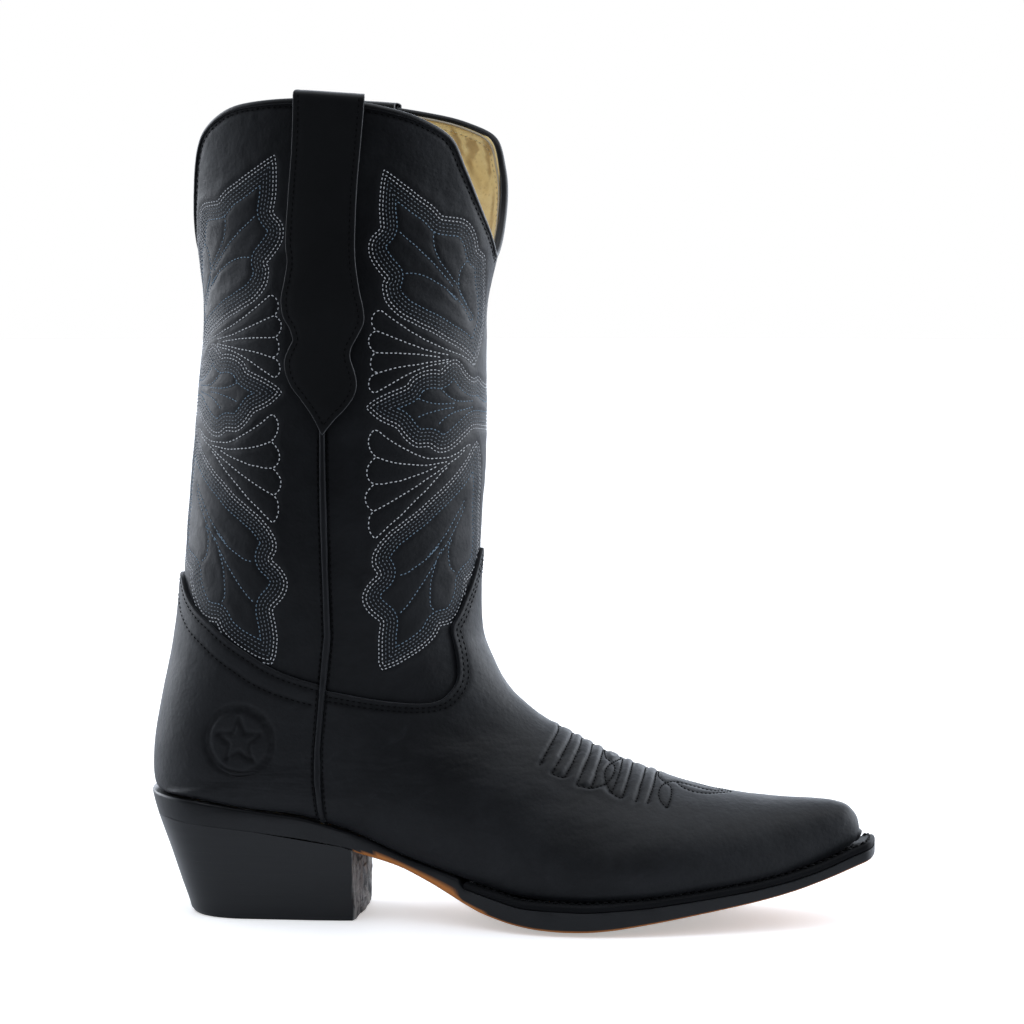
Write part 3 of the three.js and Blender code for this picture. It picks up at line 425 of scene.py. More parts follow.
def offset_row(outline, distance):
    """Pieces of the curve at a distance inside a closed outline, with loops dropped."""
    p = resample(outline, 0.4, True)
    into, out_of = edge_ways(p)
    q = []
    for point, u, v, nu, nv in zip(p, into, out_of, left_of(into), left_of(out_of)):
        if u[0] * v[1] - u[1] * v[0] < -0.3:      # reflex corner: swing round it
            ways = [nu * (1 - s) + nv * s for s in np.linspace(0, 1, 6)]
        else:
            ways = [nu + nv]
        q += [point + unit(way) * distance for way in ways]
    q = np.array(q)
    near = np.full(len(q), 1e9)
    for i in range(0, len(q), 256):
        near[i:i + 256] = np.min(np.linalg.norm(q[i:i + 256, None] - p[None], axis=2), axis=1)
    clear = (near > distance - 0.28) & inside(p, q)
    if not clear.any():
        return []
    if clear.all():
        return [np.vstack([q, q[:1]])]
    k = int(np.nonzero(~clear)[0][0])
    pieces = [r for r in runs(np.roll(q, -k, 0), np.roll(clear, -k)) if len(r) > 5]
    if not pieces:
        return []
    # neighbouring runs that meet at a mitre are carried on as one line
    join = 2.2
    joined = [pieces[0]]
    for piece in pieces[1:]:
        if np.linalg.norm(joined[-1][-1] - piece[0]) < join:
            joined[-1] = np.vstack([joined[-1], piece])
        else:
            joined.append(piece)
    if np.linalg.norm(joined[-1][-1] - joined[0][0]) < join:
        if len(joined) > 1:
            joined[0] = np.vstack([joined.pop(), joined[0]])
        else:
            joined[0] = np.vstack([joined[0], joined[0][:1]])
    return joined


def row_below(line, distance):
    """An open line moved to its left, which is down the boot for a sheet's top edge."""
    q = line + left_of(unit(np.gradient(line, axis=0))) * distance
    near = np.array([np.min(np.linalg.norm(line - p, axis=1)) for p in q])
    return q[near > distance - 0.25]


def inside(poly, q):
    """Even-odd test of points q against a closed outline."""
    res = np.zeros(len(q), bool)
    a, b = poly, np.roll(poly, -1, 0)
    for i in range(0, len(q), 4096):
        x, y = q[i:i + 4096, 0, None], q[i:i + 4096, 1, None]
        spans = (a[None, :, 1] > y) != (b[None, :, 1] > y)
        with np.errstate(divide="ignore", invalid="ignore"):
            cut = ((b[None, :, 0] - a[None, :, 0]) * (y - a[None, :, 1])
                   / (b[None, :, 1] - a[None, :, 1]) + a[None, :, 0])
        res[i:i + 4096] = np.sum(spans & (x < cut), axis=1) % 2 == 1
    return res


def tree_of(plane_points):
    tree = KDTree(len(plane_points))
    for i, (x, y) in enumerate(plane_points):
        tree.insert((x, y, 0), i)
    tree.balance()
    return tree


def nearest(tree, xy):
    """Index of and distance to the nearest tree point, for rows of plane points."""
    found = [tree.find((x, y, 0)) for x, y in xy]
    return np.array([f[1] for f in found], int), np.array([f[2] for f in found], float)


def fill_points(poly, grid):
    """Points of a triangular grid inside the outline, kept clear of its edge."""
    clear = 0.55 * grid
    low, high = poly.min(0), poly.max(0)
    row_gap = grid * 0.8660254
    a, b = poly, np.roll(poly, -1, 0)
    out = [np.zeros((0, 2))]
    for row, y in enumerate(np.arange(low[1] + 0.3 * row_gap, high[1], row_gap)):
        c = (a[:, 1] > y) != (b[:, 1] > y)
        if not c.any():
            continue
        cuts = np.sort((b[c, 0] - a[c, 0]) * (y - a[c, 1]) / (b[c, 1] - a[c, 1]) + a[c, 0])
        shift = (row % 2) * grid / 2
        for k in range(0, len(cuts) - 1, 2):
            first = math.ceil((cuts[k] + clear * 0.6 - shift) / grid)
            last = math.floor((cuts[k + 1] - clear * 0.6 - shift) / grid)
            if last >= first:
                x = np.arange(first, last + 1) * grid + shift
                out.append(np.stack([x, np.full(len(x), y)], 1))
    q = np.vstack(out)
    _, distance = nearest(tree_of(resample(poly, min(grid, 1.0) * 0.5, True)), q)
    return q[distance > clear]


def triangulate(ring, fill):
    """Triangles over ring + fill points, or None where the ring crosses itself."""
    every = np.vstack([ring, fill])
    co = [Vector((float(x), float(y))) for x, y in every]
    verts, _, faces, source = delaunay_2d_cdt(co, [], [list(range(len(ring)))], 1, 1e-6, True)[:4]
    if len(verts) != len(every) or any(not s for s in source):
        return None
    tris = np.array([[source[i][0] for i in f] for f in faces if len(f) == 3], int)
    return tris[inside(ring, every[tris].mean(1))]


# ------------------------------------------------------------------ mesh builders
def make_object(name, verts, faces, mat, smooth=True, attr=None, crisp=None):
    """Mesh object from millimetre vertices; crisp is the angle of edges kept sharp."""
    mesh = bpy.data.meshes.new(name)
    mesh.from_pydata((np.asarray(verts) * MM).tolist(), [], faces)
    if smooth:
        mesh.shade_smooth()
        if crisp:
            mesh.set_sharp_from_angle(angle=math.radians(crisp))
    ob = bpy.data.objects.new(name, mesh)
    bpy.context.scene.collection.objects.link(ob)
    mesh.materials.append(mat)
    for key, values in (attr or {}).items():
        layer = mesh.attributes.new(key, "FLOAT", "POINT")
        layer.data.foreach_set("value", np.asarray(values, np.float32))
    mesh.update()
    return ob


def band_faces(n, rings, order):
    """Quads between neighbouring rings of n points. The order names the corners: i and j
    are neighbours on one ring, I and J lie beyond them on the next."""
    i = np.arange(n)
    j = (i + 1) % n
    quads = []
    for k in range(rings - 1):
        corner = {"i": k * n + i, "j": k * n + j, "I": (k + 1) * n + i, "J": (k + 1) * n + j}
        quads.append(np.stack([corner[c] for c in order], 1))
    return np.vstack(quads)


def ring_tris(tris, n, ring_start, fill_start):
    """Triangles over one ring and its fill, renumbered for the whole mesh."""
    return np.where(tris < n, tris + ring_start, tris - n + fill_start)


def slab(name, outline, place, depths, mat, *, grid, inner_grid, edge, ring_step=None,
         relief=None, attr=None):
    """Closed sheet over an outline in a chart, its outer edge rounded by edge.
    place(girth, drop, depth) gives world points; relief(girth, drop) is how far the
    outer face swells; attr(chart points) gives the point attributes."""
    outer, inner = depths
    base = resample(ccw(outline), ring_step or grid, True)
    for share in (1.0, 0.5, 0.2, 0.0):      # tight corners may only take part of the rounding
        top = inset(base, edge * share)
        top_fill = fill_points(top, grid)
        top_tris = triangulate(top, top_fill)
        if top_tris is not None:
            break
    else:
        raise RuntimeError(f"{name}: the outline doesn't fill")
    under = inset(base, 0.5 * edge * share)
    under_fill = fill_points(under, inner_grid)
    under_tris = triangulate(under, under_fill)
    if under_tris is None:
        under = base
        under_fill = fill_points(under, inner_grid)
        under_tris = triangulate(under, under_fill)
    rings = [top, inset(base, edge * share * 0.29), base, base, under]
    n = len(base)
    counts = [n] * len(rings) + [len(top_fill), len(under_fill)]
    chart = np.vstack(rings + [top_fill, under_fill])
    depth = np.repeat([outer, outer + 0.29 * edge, outer + edge, inner - 0.5 * edge, inner,
                       outer, inner], counts)
    if relief is not None:
        swells = np.repeat([1.0, 1, 1, 0, 0, 1, 0], counts)
        depth = depth - relief(chart[:, 0], chart[:, 1]) * swells
    verts = place(chart[:, 0], chart[:, 1], depth)
    top_start = n * len(rings)
    f_top = ring_tris(top_tris, n, 0, top_start)
    f_under = ring_tris(under_tris, n, top_start - n, top_start + len(top_fill))[:, ::-1]
    walls = band_faces(n, len(rings), "jiIJ")
    # turn everything outward: the outer face must look away from the inner one
    some = f_top[:4000]
    tri = verts[some]
    normal = np.cross(tri[:, 1] - tri[:, 0], tri[:, 2] - tri[:, 0])
    q, q_depth = chart[some[:, 0]], depth[some[:, 0]]
    away = place(q[:, 0], q[:, 1], q_depth) - place(q[:, 0], q[:, 1], q_depth + 0.5)
    if np.sum(np.einsum("ij,ij->i", normal, away) > 0) < len(tri) / 2:
        f_top, f_under, walls = f_top[:, ::-1], f_under[:, ::-1], walls[:, ::-1]
    faces = f_top.tolist() + walls.tolist() + f_under.tolist()
    return make_object(name, verts, faces, mat, attr=attr(chart) if attr else None)


def sweep(name, path, side, up, section, mat):
    """Capped strip: section points (along side, along up), one set or one per path point."""
    n, m = len(path), section.shape[-2]
    verts = path[:, None] + side[:, None] * section[..., :1] + up[:, None] * section[..., 1:2]
    verts = verts.reshape(-1, 3)
    quads = band_faces(m, n, "iIJj")
    mid = len(verts)
    verts = np.vstack([verts, verts[:m].mean(0), verts[-m:].mean(0)])
    i = np.arange(m)
    j = (i + 1) % m
    last = (n - 1) * m
    caps = np.stack([np.full(m, mid), i, j, np.full(m, mid + 1), last + j, last + i], 1)
    caps = caps.reshape(-1, 3)
    tris = np.vstack([quads[:, :3], caps, quads[:, [0, 2, 3]]])
    a, b, c = (verts[tris[:, k]] for k in range(3))
    if np.einsum("ij,ij->i", a, np.cross(b, c)).sum() < 0:      # turn outward by signed volume
        quads, caps = quads[:, ::-1], caps[:, ::-1]
    return make_object(name, verts, quads.tolist() + caps.tolist(), mat)


def round_section(width, height, count, power):
    angle = np.arange(count) / count * 2 * np.pi
    cos, sin = np.cos(angle), np.sin(angle)
    return np.stack([np.sign(cos) * np.abs(cos) ** (2 / power) * width / 2,
                     np.sign(sin) * np.abs(sin) ** (2 / power) * height / 2], 1)


def put(ob, slot, *nodes, body=None):
    """Ties a piece to one body; with none named its transform is baked into the mesh and it stays
    unattached.
    """
    if body is None:
        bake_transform(ob)
    else:
        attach(ob, body)
    if nodes:
        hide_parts(*nodes)


# ------------------------------------------------------------------ threads
THREADS = {}
# a stitch from end to end: depth of its middle line, and thickness as a share of the radius
STITCH_DIP = np.array([0.30, -0.06, -0.16, -0.06, 0.30])
STITCH_TAPER = np.array([0.42, 0.95, 1.0, 0.95, 0.42])


def stitch(kind, line, place, depth, *, pitch, length, radius=0.27, lift=0.16):
    """Adds a row of stitches of one kind along a chart line; depth is a number or a
    function of place."""
    fine = resample(line, 0.4)
    depths = (depth(fine[:, 0], fine[:, 1]) if callable(depth)
              else np.full(len(fine), float(depth)))
    s = arc_length(place(fine[:, 0], fine[:, 1], depths))
    total = s[-1]
    if (total - 0.4) / pitch < 1:
        return
    count = int(round(total / pitch))
    start = (np.arange(count) + 0.5) * (total / count) - length / 2
    along = np.clip(start[:, None] + np.linspace(0, 1, 5)[None] * length, 0, total)
    girth, drop = np.interp(along, s, fine[:, 0]), np.interp(along, s, fine[:, 1])
    deep = np.interp(along, s, depths) + STITCH_DIP[None] * (lift / 0.16)
    path = place(girth, drop, deep)
    up = unit(place(girth, drop, deep - 1.0) - path)
    ahead = unit(np.gradient(path, axis=1))
    side = unit(np.cross(ahead, up))
    THREADS.setdefault(kind, []).append((path, side, np.cross(side, ahead),
                                         np.full(count, radius)))


def build_threads(name, kind, mat, body=None):
    """One object of all stitches of a kind."""
    path, side, up, radius = (np.concatenate(part) for part in zip(*THREADS.pop(kind)))
    n, k = path.shape[:2]
    m = 5
    angle = (np.arange(m) / m * 2 * np.pi + 0.3)[None, None, :, None]
    taper, radius = STITCH_TAPER[None, :, None, None], radius[:, None, None, None]
    verts = (path[:, :, None] + side[:, :, None] * (np.cos(angle) * taper * radius)
             + up[:, :, None] * (np.sin(angle) * taper * radius * 0.85)).reshape(-1, 3)
    start = (np.arange(n) * k * m)[:, None, None]
    quads = (band_faces(m, k, "ijJI")[None] + start).reshape(-1, 4)
    near_cap = np.arange(m)[::-1] + start[:, 0]
    far_cap = (k - 1) * m + np.arange(m) + start[:, 0]
    faces = quads.tolist() + near_cap.tolist() + far_cap.tolist()
    f = quads[0]
    normal = np.cross(verts[f[1]] - verts[f[0]], verts[f[2]] - verts[f[0]])
    if np.dot(normal, verts[f].mean(0) - path[0].mean(0)) < 0:
        faces = [face[::-1] for face in faces]
    put(make_object(name, verts, faces, mat), None, body=body)


# ------------------------------------------------------------------ lines of the boot
# the side seam in side view (x, z), from the top down
SIDE_LINE = points(
    31.5,360, 31,330, 29.5,300, 28.2,260, 27.4,208, 27.4,190, 27.7,156,
    28.0,123, 25.8,105, 24.0,88, 22.7,75, 22.6,62, 24.2,40)
# the top line: share of the way round from the front line to the back line, height z
RIM_GIRTH = 187.8
RIM = points(
    0,283.5, 0.0213,285.5, 0.0938,299.8, 0.155,319, 0.1963,332.2, 0.2725,339.6,
    0.3463,343.6, 0.5,348, 0.6837,347, 0.76,343.8, 0.8325,335.6, 0.8588,329,
    0.9163,302.5, 0.9788,287, 1,284.8)
# the vamp's top edge in the front chart, outer half, from near the side seam to the front line
VAMP_EDGE = points(
    -76.4,262, -68.3,265.6, -60.3,268.9, -52.2,272, -44.7,273.8, -38.5,273.3, -29.4,266.5,
    -26.4,261.5, -24.6,253.5, -24.2,245.4, -24.8,240.2, -25.1,237.1, -24.1,234.3,
    -21.2,230.9, -16.9,224.3, -12.7,217.9, -8.8,211.7, -5.1,205.5, -2.4,202.0, 0,200.6)
# the counter's top edge in the front chart, outer side, from the side seam towards the back
COUNTER_SEAM_DROP = 256.5
COUNTER_EDGE = points(
    -93.7,252.5, -101.2,248.7, -108.8,244.1, -116.9,238.6, -126,233, -135,227.2,
    -144.5,222.2, -154.1,216.4, -164,210)
COUNTER_BACK_DROP = 208.6


def seam_table(side):
    """The side seam as rows of (drop, girth), down to the feather line."""
    rows = []
    for drop in np.arange(0, 372, 1.5):
        girth = np.linspace(0, float(half_at(drop)), 241) * side
        p, _ = surf(girth, np.full(241, drop))
        ahead = p[:, 0] - np.interp(p[:, 2], SIDE_LINE[::-1, 1], SIDE_LINE[::-1, 0])
        k = np.nonzero((ahead[:-1] > 0) & (ahead[1:] <= 0))[0]
        if len(k) == 0:
            break
        k = k[0]
        share = ahead[k] / (ahead[k] - ahead[k + 1])
        rows.append((drop, girth[k] + (girth[k + 1] - girth[k]) * share))
    return np.array(rows)


SEAM = {side: seam_table(side) for side in (OUTER, INNER)}
SEAM_END = {side: float(SEAM[side][-1, 0]) for side in (OUTER, INNER)}


def seam_girth(side, drop, chart="front"):
    girth = np.interp(drop, SEAM[side][:, 0], SEAM[side][:, 1])
    return girth if chart == "front" else to_back(girth, drop)


def seam_run(chart, side, drop, gap):
    """Line beside the side seam, a gap inside the panel."""
    return np.stack([seam_girth(side, drop, chart) - side * gap, drop], 1)


def clip_to_seams(chart, line, gap):
    drop = line[:, 1]
    girth = np.clip(line[:, 0], seam_girth(OUTER, drop, chart) + gap,
                    seam_girth(INNER, drop, chart) - gap)
    return np.stack([girth, drop], 1)


def front_drop(z):
    """Drop at which the front line stands at height z."""
    drops = np.linspace(0, STATION_DROP[12], 1200)
    heights = spline(STATION_DROP, STATIONS, drops)[:, 1]
    return np.interp(-z, -heights, drops)


def rim_chart(side, lower=0.0):
    """Top line in the front chart from front line to back line, moved down across its slope."""
    rim = smooth_curve(RIM * [RIM_GIRTH, 1], 1.0)
    if lower:
        along = unit(np.gradient(rim, axis=0))
        q = rim + np.stack([along[:, 1], -along[:, 0]], 1) * lower
        q[0] = [0, rim[0, 1] - lower * 1.3]
        q[-1] = [RIM_GIRTH, rim[-1, 1] - lower * 1.3]
        q = q[(q[:, 0] >= -0.01) & (q[:, 0] <= RIM_GIRTH + 0.01)]
        # no doubling back near the bottoms of the dips
        kept = [q[0]]
        for p in q[1:]:
            if p[0] > kept[-1][0] + 1e-3:
                kept.append(p)
        rim = np.array(kept)
    drop = front_drop(rim[:, 1])
    return np.stack([side * (rim[:, 0] / RIM_GIRTH) * half_at(drop), drop], 1)


def rim_drop(girth):
    line = rim_chart(INNER)
    return np.interp(np.abs(girth), line[:, 0], line[:, 1])


def rim_path(chart, lower, gap):
    """Top line of one panel from outer to inner seam, in front chart places."""
    halves = []
    for side in (OUTER, INNER):
        line = rim_chart(side, lower)
        place, seam = side * line[:, 0], side * seam_girth(side, line[:, 1])
        keep = place < seam - gap if chart == "front" else place > seam + gap
        halves.append(line[keep])
    outer, inner = halves
    if chart == "front":
        return np.vstack([outer[::-1], inner[1:]])
    return np.vstack([outer, inner[::-1][1:]])


def rim_in_chart(chart, lower, gap):
    path = rim_path(chart, lower, gap)
    return path if chart == "front" else back_line(path)


def side_view_chart(view, side):
    """Side-view points (x, z) to front chart places on one side."""
    first = 0 if side < 0 else HALF_STEPS
    cols = np.arange(first, first + HALF_STEPS + 1, 3)
    drops, cols = np.meshgrid(SURF_DROP[::5], (cols - HALF_STEPS) / HALF_STEPS, indexing="ij")
    girths = cols * half_at(drops)
    grid = at(girths, drops)
    step = 0.2
    out = []
    for x, z in view:
        k = np.argmin((grid[..., 0] - x) ** 2 + (grid[..., 2] - z) ** 2)
        guess = np.array([girths.flat[k], drops.flat[k]])
        for _ in range(12):
            p = at(guess[0], guess[1])
            miss = np.array([x - p[0], z - p[2]])
            if np.hypot(*miss) < 1e-3:
                break
            p_girth, p_drop = at(guess[0] + step, guess[1]), at(guess[0], guess[1] + step)
            slopes = np.array([[p_girth[0] - p[0], p_drop[0] - p[0]],
                               [p_girth[2] - p[2], p_drop[2] - p[2]]]) / step
            try:
                move = np.linalg.solve(slopes, miss)
            except np.linalg.LinAlgError:      # the guess has run off the chart's edge
                break
            guess = guess + np.clip(move, -4, 4)
        out.append(guess)
    return np.array(out)


def vamp_edge(side):
    """Front chart line from the side seam to the front line; the inner side mirrors the outer
    and is stretched to its own seam."""
    line = smooth_curve(VAMP_EDGE, 1.0)
    start = line[0, 1] - 3.6
    lead = [[seam_girth(OUTER, start), start]]
    line = smooth_curve(np.vstack([lead, line[::4], line[-1:]]), 1.0)
    if side > 0:
        near_seam = np.clip((-line[:, 0] - 20) / 60, 0, 1)
        ratio = seam_girth(INNER, line[:, 1]) / -seam_girth(OUTER, line[:, 1])
        line[:, 0] = -line[:, 0] * (1 + (ratio - 1) * near_seam)
    return line


def counter_edge(side):
    """Back chart line from the side seam to the back line."""
    seam = [seam_girth(OUTER, COUNTER_SEAM_DROP), COUNTER_SEAM_DROP]
    line = back_line(np.vstack([seam, COUNTER_EDGE]))
    line = smooth_curve(np.vstack([line[line[:, 0] < -3], [0, COUNTER_BACK_DROP]]), 1.0)
    if side > 0:
        end = seam_girth(INNER, COUNTER_SEAM_DROP, "back")
        line[:, 0] = -line[:, 0] * (end / -line[0, 0])
    return line


# top edge of the foot pieces from outer to inner seam
FOOT_EDGE = {chart: np.vstack([edge(OUTER), edge(INNER)[::-1][1:]])
             for chart, edge in (("front", vamp_edge), ("back", counter_edge))}


def edge_row(chart, distance):
    """Line a distance below the top edge of the vamp or counter."""
    return row_below(smooth_curve(FOOT_EDGE[chart][::3], 0.5), distance)


# ------------------------------------------------------------------ relief
@lru_cache(None)
def noise_grid(seed):
    return np.random.RandomState(seed).rand(96, 96) * 2 - 1


def noise2(x, y, scale, seed):
    """Smooth value noise, -1..1."""
    g = noise_grid(seed)
    n = len(g)
    x, y = np.asarray(x, float) / scale + 500, np.asarray(y, float) / scale + 500
    i, j = np.floor(x).astype(int), np.floor(y).astype(int)
    a, b = x - i, y - j
    a, b = a * a * (3 - 2 * a), b * b * (3 - 2 * b)
    i1, j1 = (i + 1) % n, (j + 1) % n
    i, j = i % n, j % n
    return (g[i, j] * (1 - a) * (1 - b) + g[i1, j] * a * (1 - b)
            + g[i, j1] * (1 - a) * b + g[i1, j1] * a * b)


def uneven(girth, drop, seed, *layers):
    """Sum of noises (height, scale), with seeds counting on from seed."""
    return sum(height * noise2(girth, drop, scale, seed + i)
               for i, (height, scale) in enumerate(layers))


class Field:
    """Lines drawn into a raster over a chart and blurred; about 1 on a lone line."""
    CELL = 0.5

    def __init__(self, low, high, lines, spread):
        self.low = np.array(low, float)
        self.size = np.ceil((np.array(high) - self.low) / self.CELL).astype(int) + 2
        grid = np.zeros(self.size)
        for line in lines:
            q = resample(line, self.CELL * 0.5)
            ij = np.round((q - self.low) / self.CELL).astype(int)
            ok = np.all((ij >= 0) & (ij < self.size), axis=1)
            grid[ij[ok, 0], ij[ok, 1]] = 1.0
        sigma = spread / self.CELL
        self.grid = blur(blur(grid, sigma, 0), sigma, 1) * (sigma * math.sqrt(2 * math.pi))

    def __call__(self, girth, drop):
        u = np.clip((girth - self.low[0]) / self.CELL, 0, self.size[0] - 1.001)
        v = np.clip((drop - self.low[1]) / self.CELL, 0, self.size[1] - 1.001)
        i, j = u.astype(int), v.astype(int)
        a, b = u - i, v - j
        g = self.grid
        return (g[i, j] * (1 - a) * (1 - b) + g[i + 1, j] * a * (1 - b)
                + g[i, j + 1] * (1 - a) * b + g[i + 1, j + 1] * a * b)


# ------------------------------------------------------------------ materials
class Tree:
    """Short hand for building the shader nodes of a material or world."""

    def __init__(self, owner, coordinates):
        owner.use_nodes = True
        self.nodes = owner.node_tree.nodes
        self.links = owner.node_tree.links
        self.co = self.new("ShaderNodeTexCoord").outputs[coordinates]

    def new(self, kind, **settings):
        node = self.nodes.new(kind)
        for key, value in settings.items():
            setattr(node, key, value)
        return node

    def find(self, kind):
        return next(n for n in self.nodes if n.type == kind)

    def put(self, socket, value):
        """Links a socket or sets a value; colours are given as three numbers."""
        if isinstance(value, bpy.types.NodeSocket):
            self.links.new(value, socket)
        else:
            socket.default_value = (*value, 1) if isinstance(value, tuple) else value

    def noise(self, scale, detail, rough, stretch=None, distortion=0.0):
        n = self.new("ShaderNodeTexNoise")
        n.inputs["Scale"].default_value = scale
        n.inputs["Detail"].default_value = detail
        n.inputs["Roughness"].default_value = rough
        n.inputs["Distortion"].default_value = distortion
        co = self.co
        if stretch:
            mapping = self.new("ShaderNodeMapping")
            mapping.inputs["Scale"].default_value = stretch
            self.put(mapping.inputs["Vector"], co)
            co = mapping.outputs["Vector"]
        self.put(n.inputs["Vector"], co)
        return n.outputs["Fac"]

    def voronoi(self, scale, feature="F1"):
        n = self.new("ShaderNodeTexVoronoi", feature=feature)
        n.inputs["Scale"].default_value = scale
        self.put(n.inputs["Vector"], self.co)
        return n.outputs["Distance"]

    def ramp(self, factor, *stops):
        """Colour ramp with stops (position, colour)."""
        n = self.new("ShaderNodeValToRGB")
        elements = n.color_ramp.elements
        while len(elements) < len(stops):
            elements.new(0.5)
        for element, (position, color) in zip(elements, stops):
            element.position = position
            element.color = (*color, 1)
        self.put(n.inputs["Fac"], factor)
        return n.outputs["Color"]

    def remap(self, value, source, target, kind="LINEAR"):
        """Maps the source range (from, to) on to the target range."""
        n = self.new("ShaderNodeMapRange", interpolation_type=kind)
        self.put(n.inputs["Value"], value)
        for key, x in zip(("From Min", "From Max", "To Min", "To Max"), (*source, *target)):
            n.inputs[key].default_value = x
        return n.outputs["Result"]

    def math(self, operation, a, b):
        n = self.new("ShaderNodeMath", operation=operation)
        self.put(n.inputs[0], a)
        self.put(n.inputs[1], b)
        return n.outputs[0]

    def mix(self, factor, a, b):
        """Blend of two colours."""
        n = self.new("ShaderNodeMix", data_type="RGBA")
        self.put(n.inputs["Factor"], factor)
        self.put(n.inputs[6], a)
        self.put(n.inputs[7], b)
        return n.outputs[2]

    def bumps(self, *layers):
        """Bumps (height, strength, distance in metres), each laid over the last."""
        normal = None
        for height, strength, distance in layers:
            n = self.new("ShaderNodeBump")
            n.inputs["Strength"].default_value = strength
            n.inputs["Distance"].default_value = distance
            self.put(n.inputs["Height"], height)
            if normal is not None:
                self.put(n.inputs["Normal"], normal)
            normal = n.outputs["Normal"]
        return normal

    def attr(self, name):
        return self.new("ShaderNodeAttribute", attribute_name=name).outputs["Fac"]


class Shader(Tree):
    """A material with one principled shader."""

    def __init__(self, name):
        self.mat = bpy.data.materials.new(name)
        super().__init__(self.mat, "Object")
        self.bsdf = self.find("BSDF_PRINCIPLED")

    def set(self, **inputs):
        """Sets inputs of the shader, with _ for the spaces in their names."""
        for key, value in inputs.items():
            self.put(self.bsdf.inputs[key.replace("_", " ")], value)
        return self.mat


def shade(color, factor):
    return tuple(min(1, c * factor) for c in color)


def mat_leather(name, dark, mid, light, rough=0.52, grain=1.0, sheen=0.25, scuff=0.5):
    """Grained leather, worn in patches, with painted shade where the seam attribute is set."""
    k = Shader(name)
    cloud = k.noise(scale=16, detail=5, rough=0.6, distortion=0.4)
    fine = k.noise(scale=240, detail=3, rough=0.6)
    col = k.ramp(cloud, (0.28, dark), (0.52, mid), (0.78, light))
    pores = k.remap(k.voronoi(900), (0.0, 0.5), (0.22, 0.0))
    col = k.mix(pores, col, shade(dark, 0.5))
    wear = k.noise(scale=70, detail=6, rough=0.7, distortion=1.2)
    wear = k.remap(wear, (0.60, 0.78), (0.0, scuff))
    col = k.mix(k.math("MULTIPLY", wear, 0.4), col, shade(light, 2.1))
    blotch = k.noise(scale=46, detail=4, rough=0.65, distortion=0.8)
    blotch = k.remap(blotch, (0.34, 0.66), (0.0, 1.0))
    col = k.mix(k.math("MULTIPLY", blotch, 0.45), col, shade(dark, 0.45))
    # painted shade: beside the side seams and in the stitched grooves the colour darkens and the
    # reflection is cut back
    seam = k.remap(k.attr("seam"), (0.08, 0.85), (0.0, 0.85))
    col = k.mix(seam, col, shade(dark, 0.22))
    roughness = k.math("ADD", k.remap(cloud, (0.3, 0.8), (rough - 0.05, rough + 0.07)),
                       k.remap(fine, (0.2, 0.8), (-0.04, 0.05)))
    normal = k.bumps(
        (k.noise(scale=1500, detail=3, rough=0.65), 0.16 * grain, 0.0002),
        (k.voronoi(620, "SMOOTH_F1"), 0.30 * grain, 0.00026),
        (k.noise(scale=330, detail=4, rough=0.6), 0.22 * grain, 0.0004),
        (k.noise(scale=90, detail=4, rough=0.6, distortion=0.6), 0.20 * grain, 0.0007))
    return k.set(Base_Color=col, Specular_IOR_Level=k.remap(seam, (0.0, 1.0), (0.36, 0.10)),
                 Roughness=roughness, Normal=normal,
                 Sheen_Weight=sheen, Sheen_Roughness=0.45, Sheen_Tint=(0.85, 0.9, 1.0))


def mat_strap():
    """Black face, raw light grey cut edge."""
    k = Shader("strap_leather_raw_edge")
    cloud = k.noise(scale=22, detail=5, rough=0.6)
    col = k.ramp(cloud, (0.3, (0.0032, 0.0035, 0.0042)), (0.75, (0.0068, 0.0073, 0.0083)))
    edge = k.attr("edge")
    grey = k.ramp(k.noise(scale=700, detail=3, rough=0.7),
                  (0.3, (0.10, 0.102, 0.106)), (0.7, (0.24, 0.243, 0.25)))
    normal = k.bumps((k.noise(scale=1500, detail=3, rough=0.65), 0.14, 0.0002),
                     (k.voronoi(620, "SMOOTH_F1"), 0.2, 0.00022))
    return k.set(Base_Color=k.mix(edge, col, grey), Normal=normal,
                 Roughness=k.remap(edge, (0, 1), (0.5, 0.85)),
                 Sheen_Weight=0.05, Sheen_Roughness=0.5, Specular_IOR_Level=0.36)


def mat_lining():
    """Golden leather, brown in its pores, with painted shade in brown along its creases."""
    k = Shader("golden_pigskin_lining")
    cloud = k.noise(scale=30, detail=5, rough=0.6, distortion=0.6)
    col = k.ramp(cloud, (0.25, (0.80, 0.58, 0.22)), (0.5, (0.92, 0.72, 0.33)),
                 (0.8, (0.96, 0.82, 0.48)))
    # painted shade: the lining's creases are darkened towards brown
    crease = k.remap(k.attr("crease"), (0.0, 1.0), (0.0, 0.62))
    col = k.mix(crease, col, (0.34, 0.18, 0.045))
    pores = k.remap(k.voronoi(420), (0.0, 0.35), (0.35, 0.0))
    col = k.mix(pores, col, (0.45, 0.28, 0.09))
    normal = k.bumps(
        (k.voronoi(420, "SMOOTH_F1"), 0.3, 0.0003),
        (k.noise(scale=160, detail=5, rough=0.65, distortion=1.0), 0.35, 0.0008))
    return k.set(Base_Color=col, Roughness=0.62, Normal=normal,
                 Sheen_Weight=0.2, Sheen_Roughness=0.5)


def mat_thread(name, light, dark, rough=0.55, sheen=0.3, spec=0.4):
    k = Shader(name)
    twist = k.noise(scale=2600, detail=2, rough=0.5, stretch=(1, 1, 0.6))
    normal = k.bumps((k.noise(scale=5200, detail=2, rough=0.5), 0.3, 0.00006))
    return k.set(Base_Color=k.mix(twist, light, dark), Roughness=rough, Normal=normal,
                 Sheen_Weight=sheen, Sheen_Roughness=0.35, Specular_IOR_Level=spec)


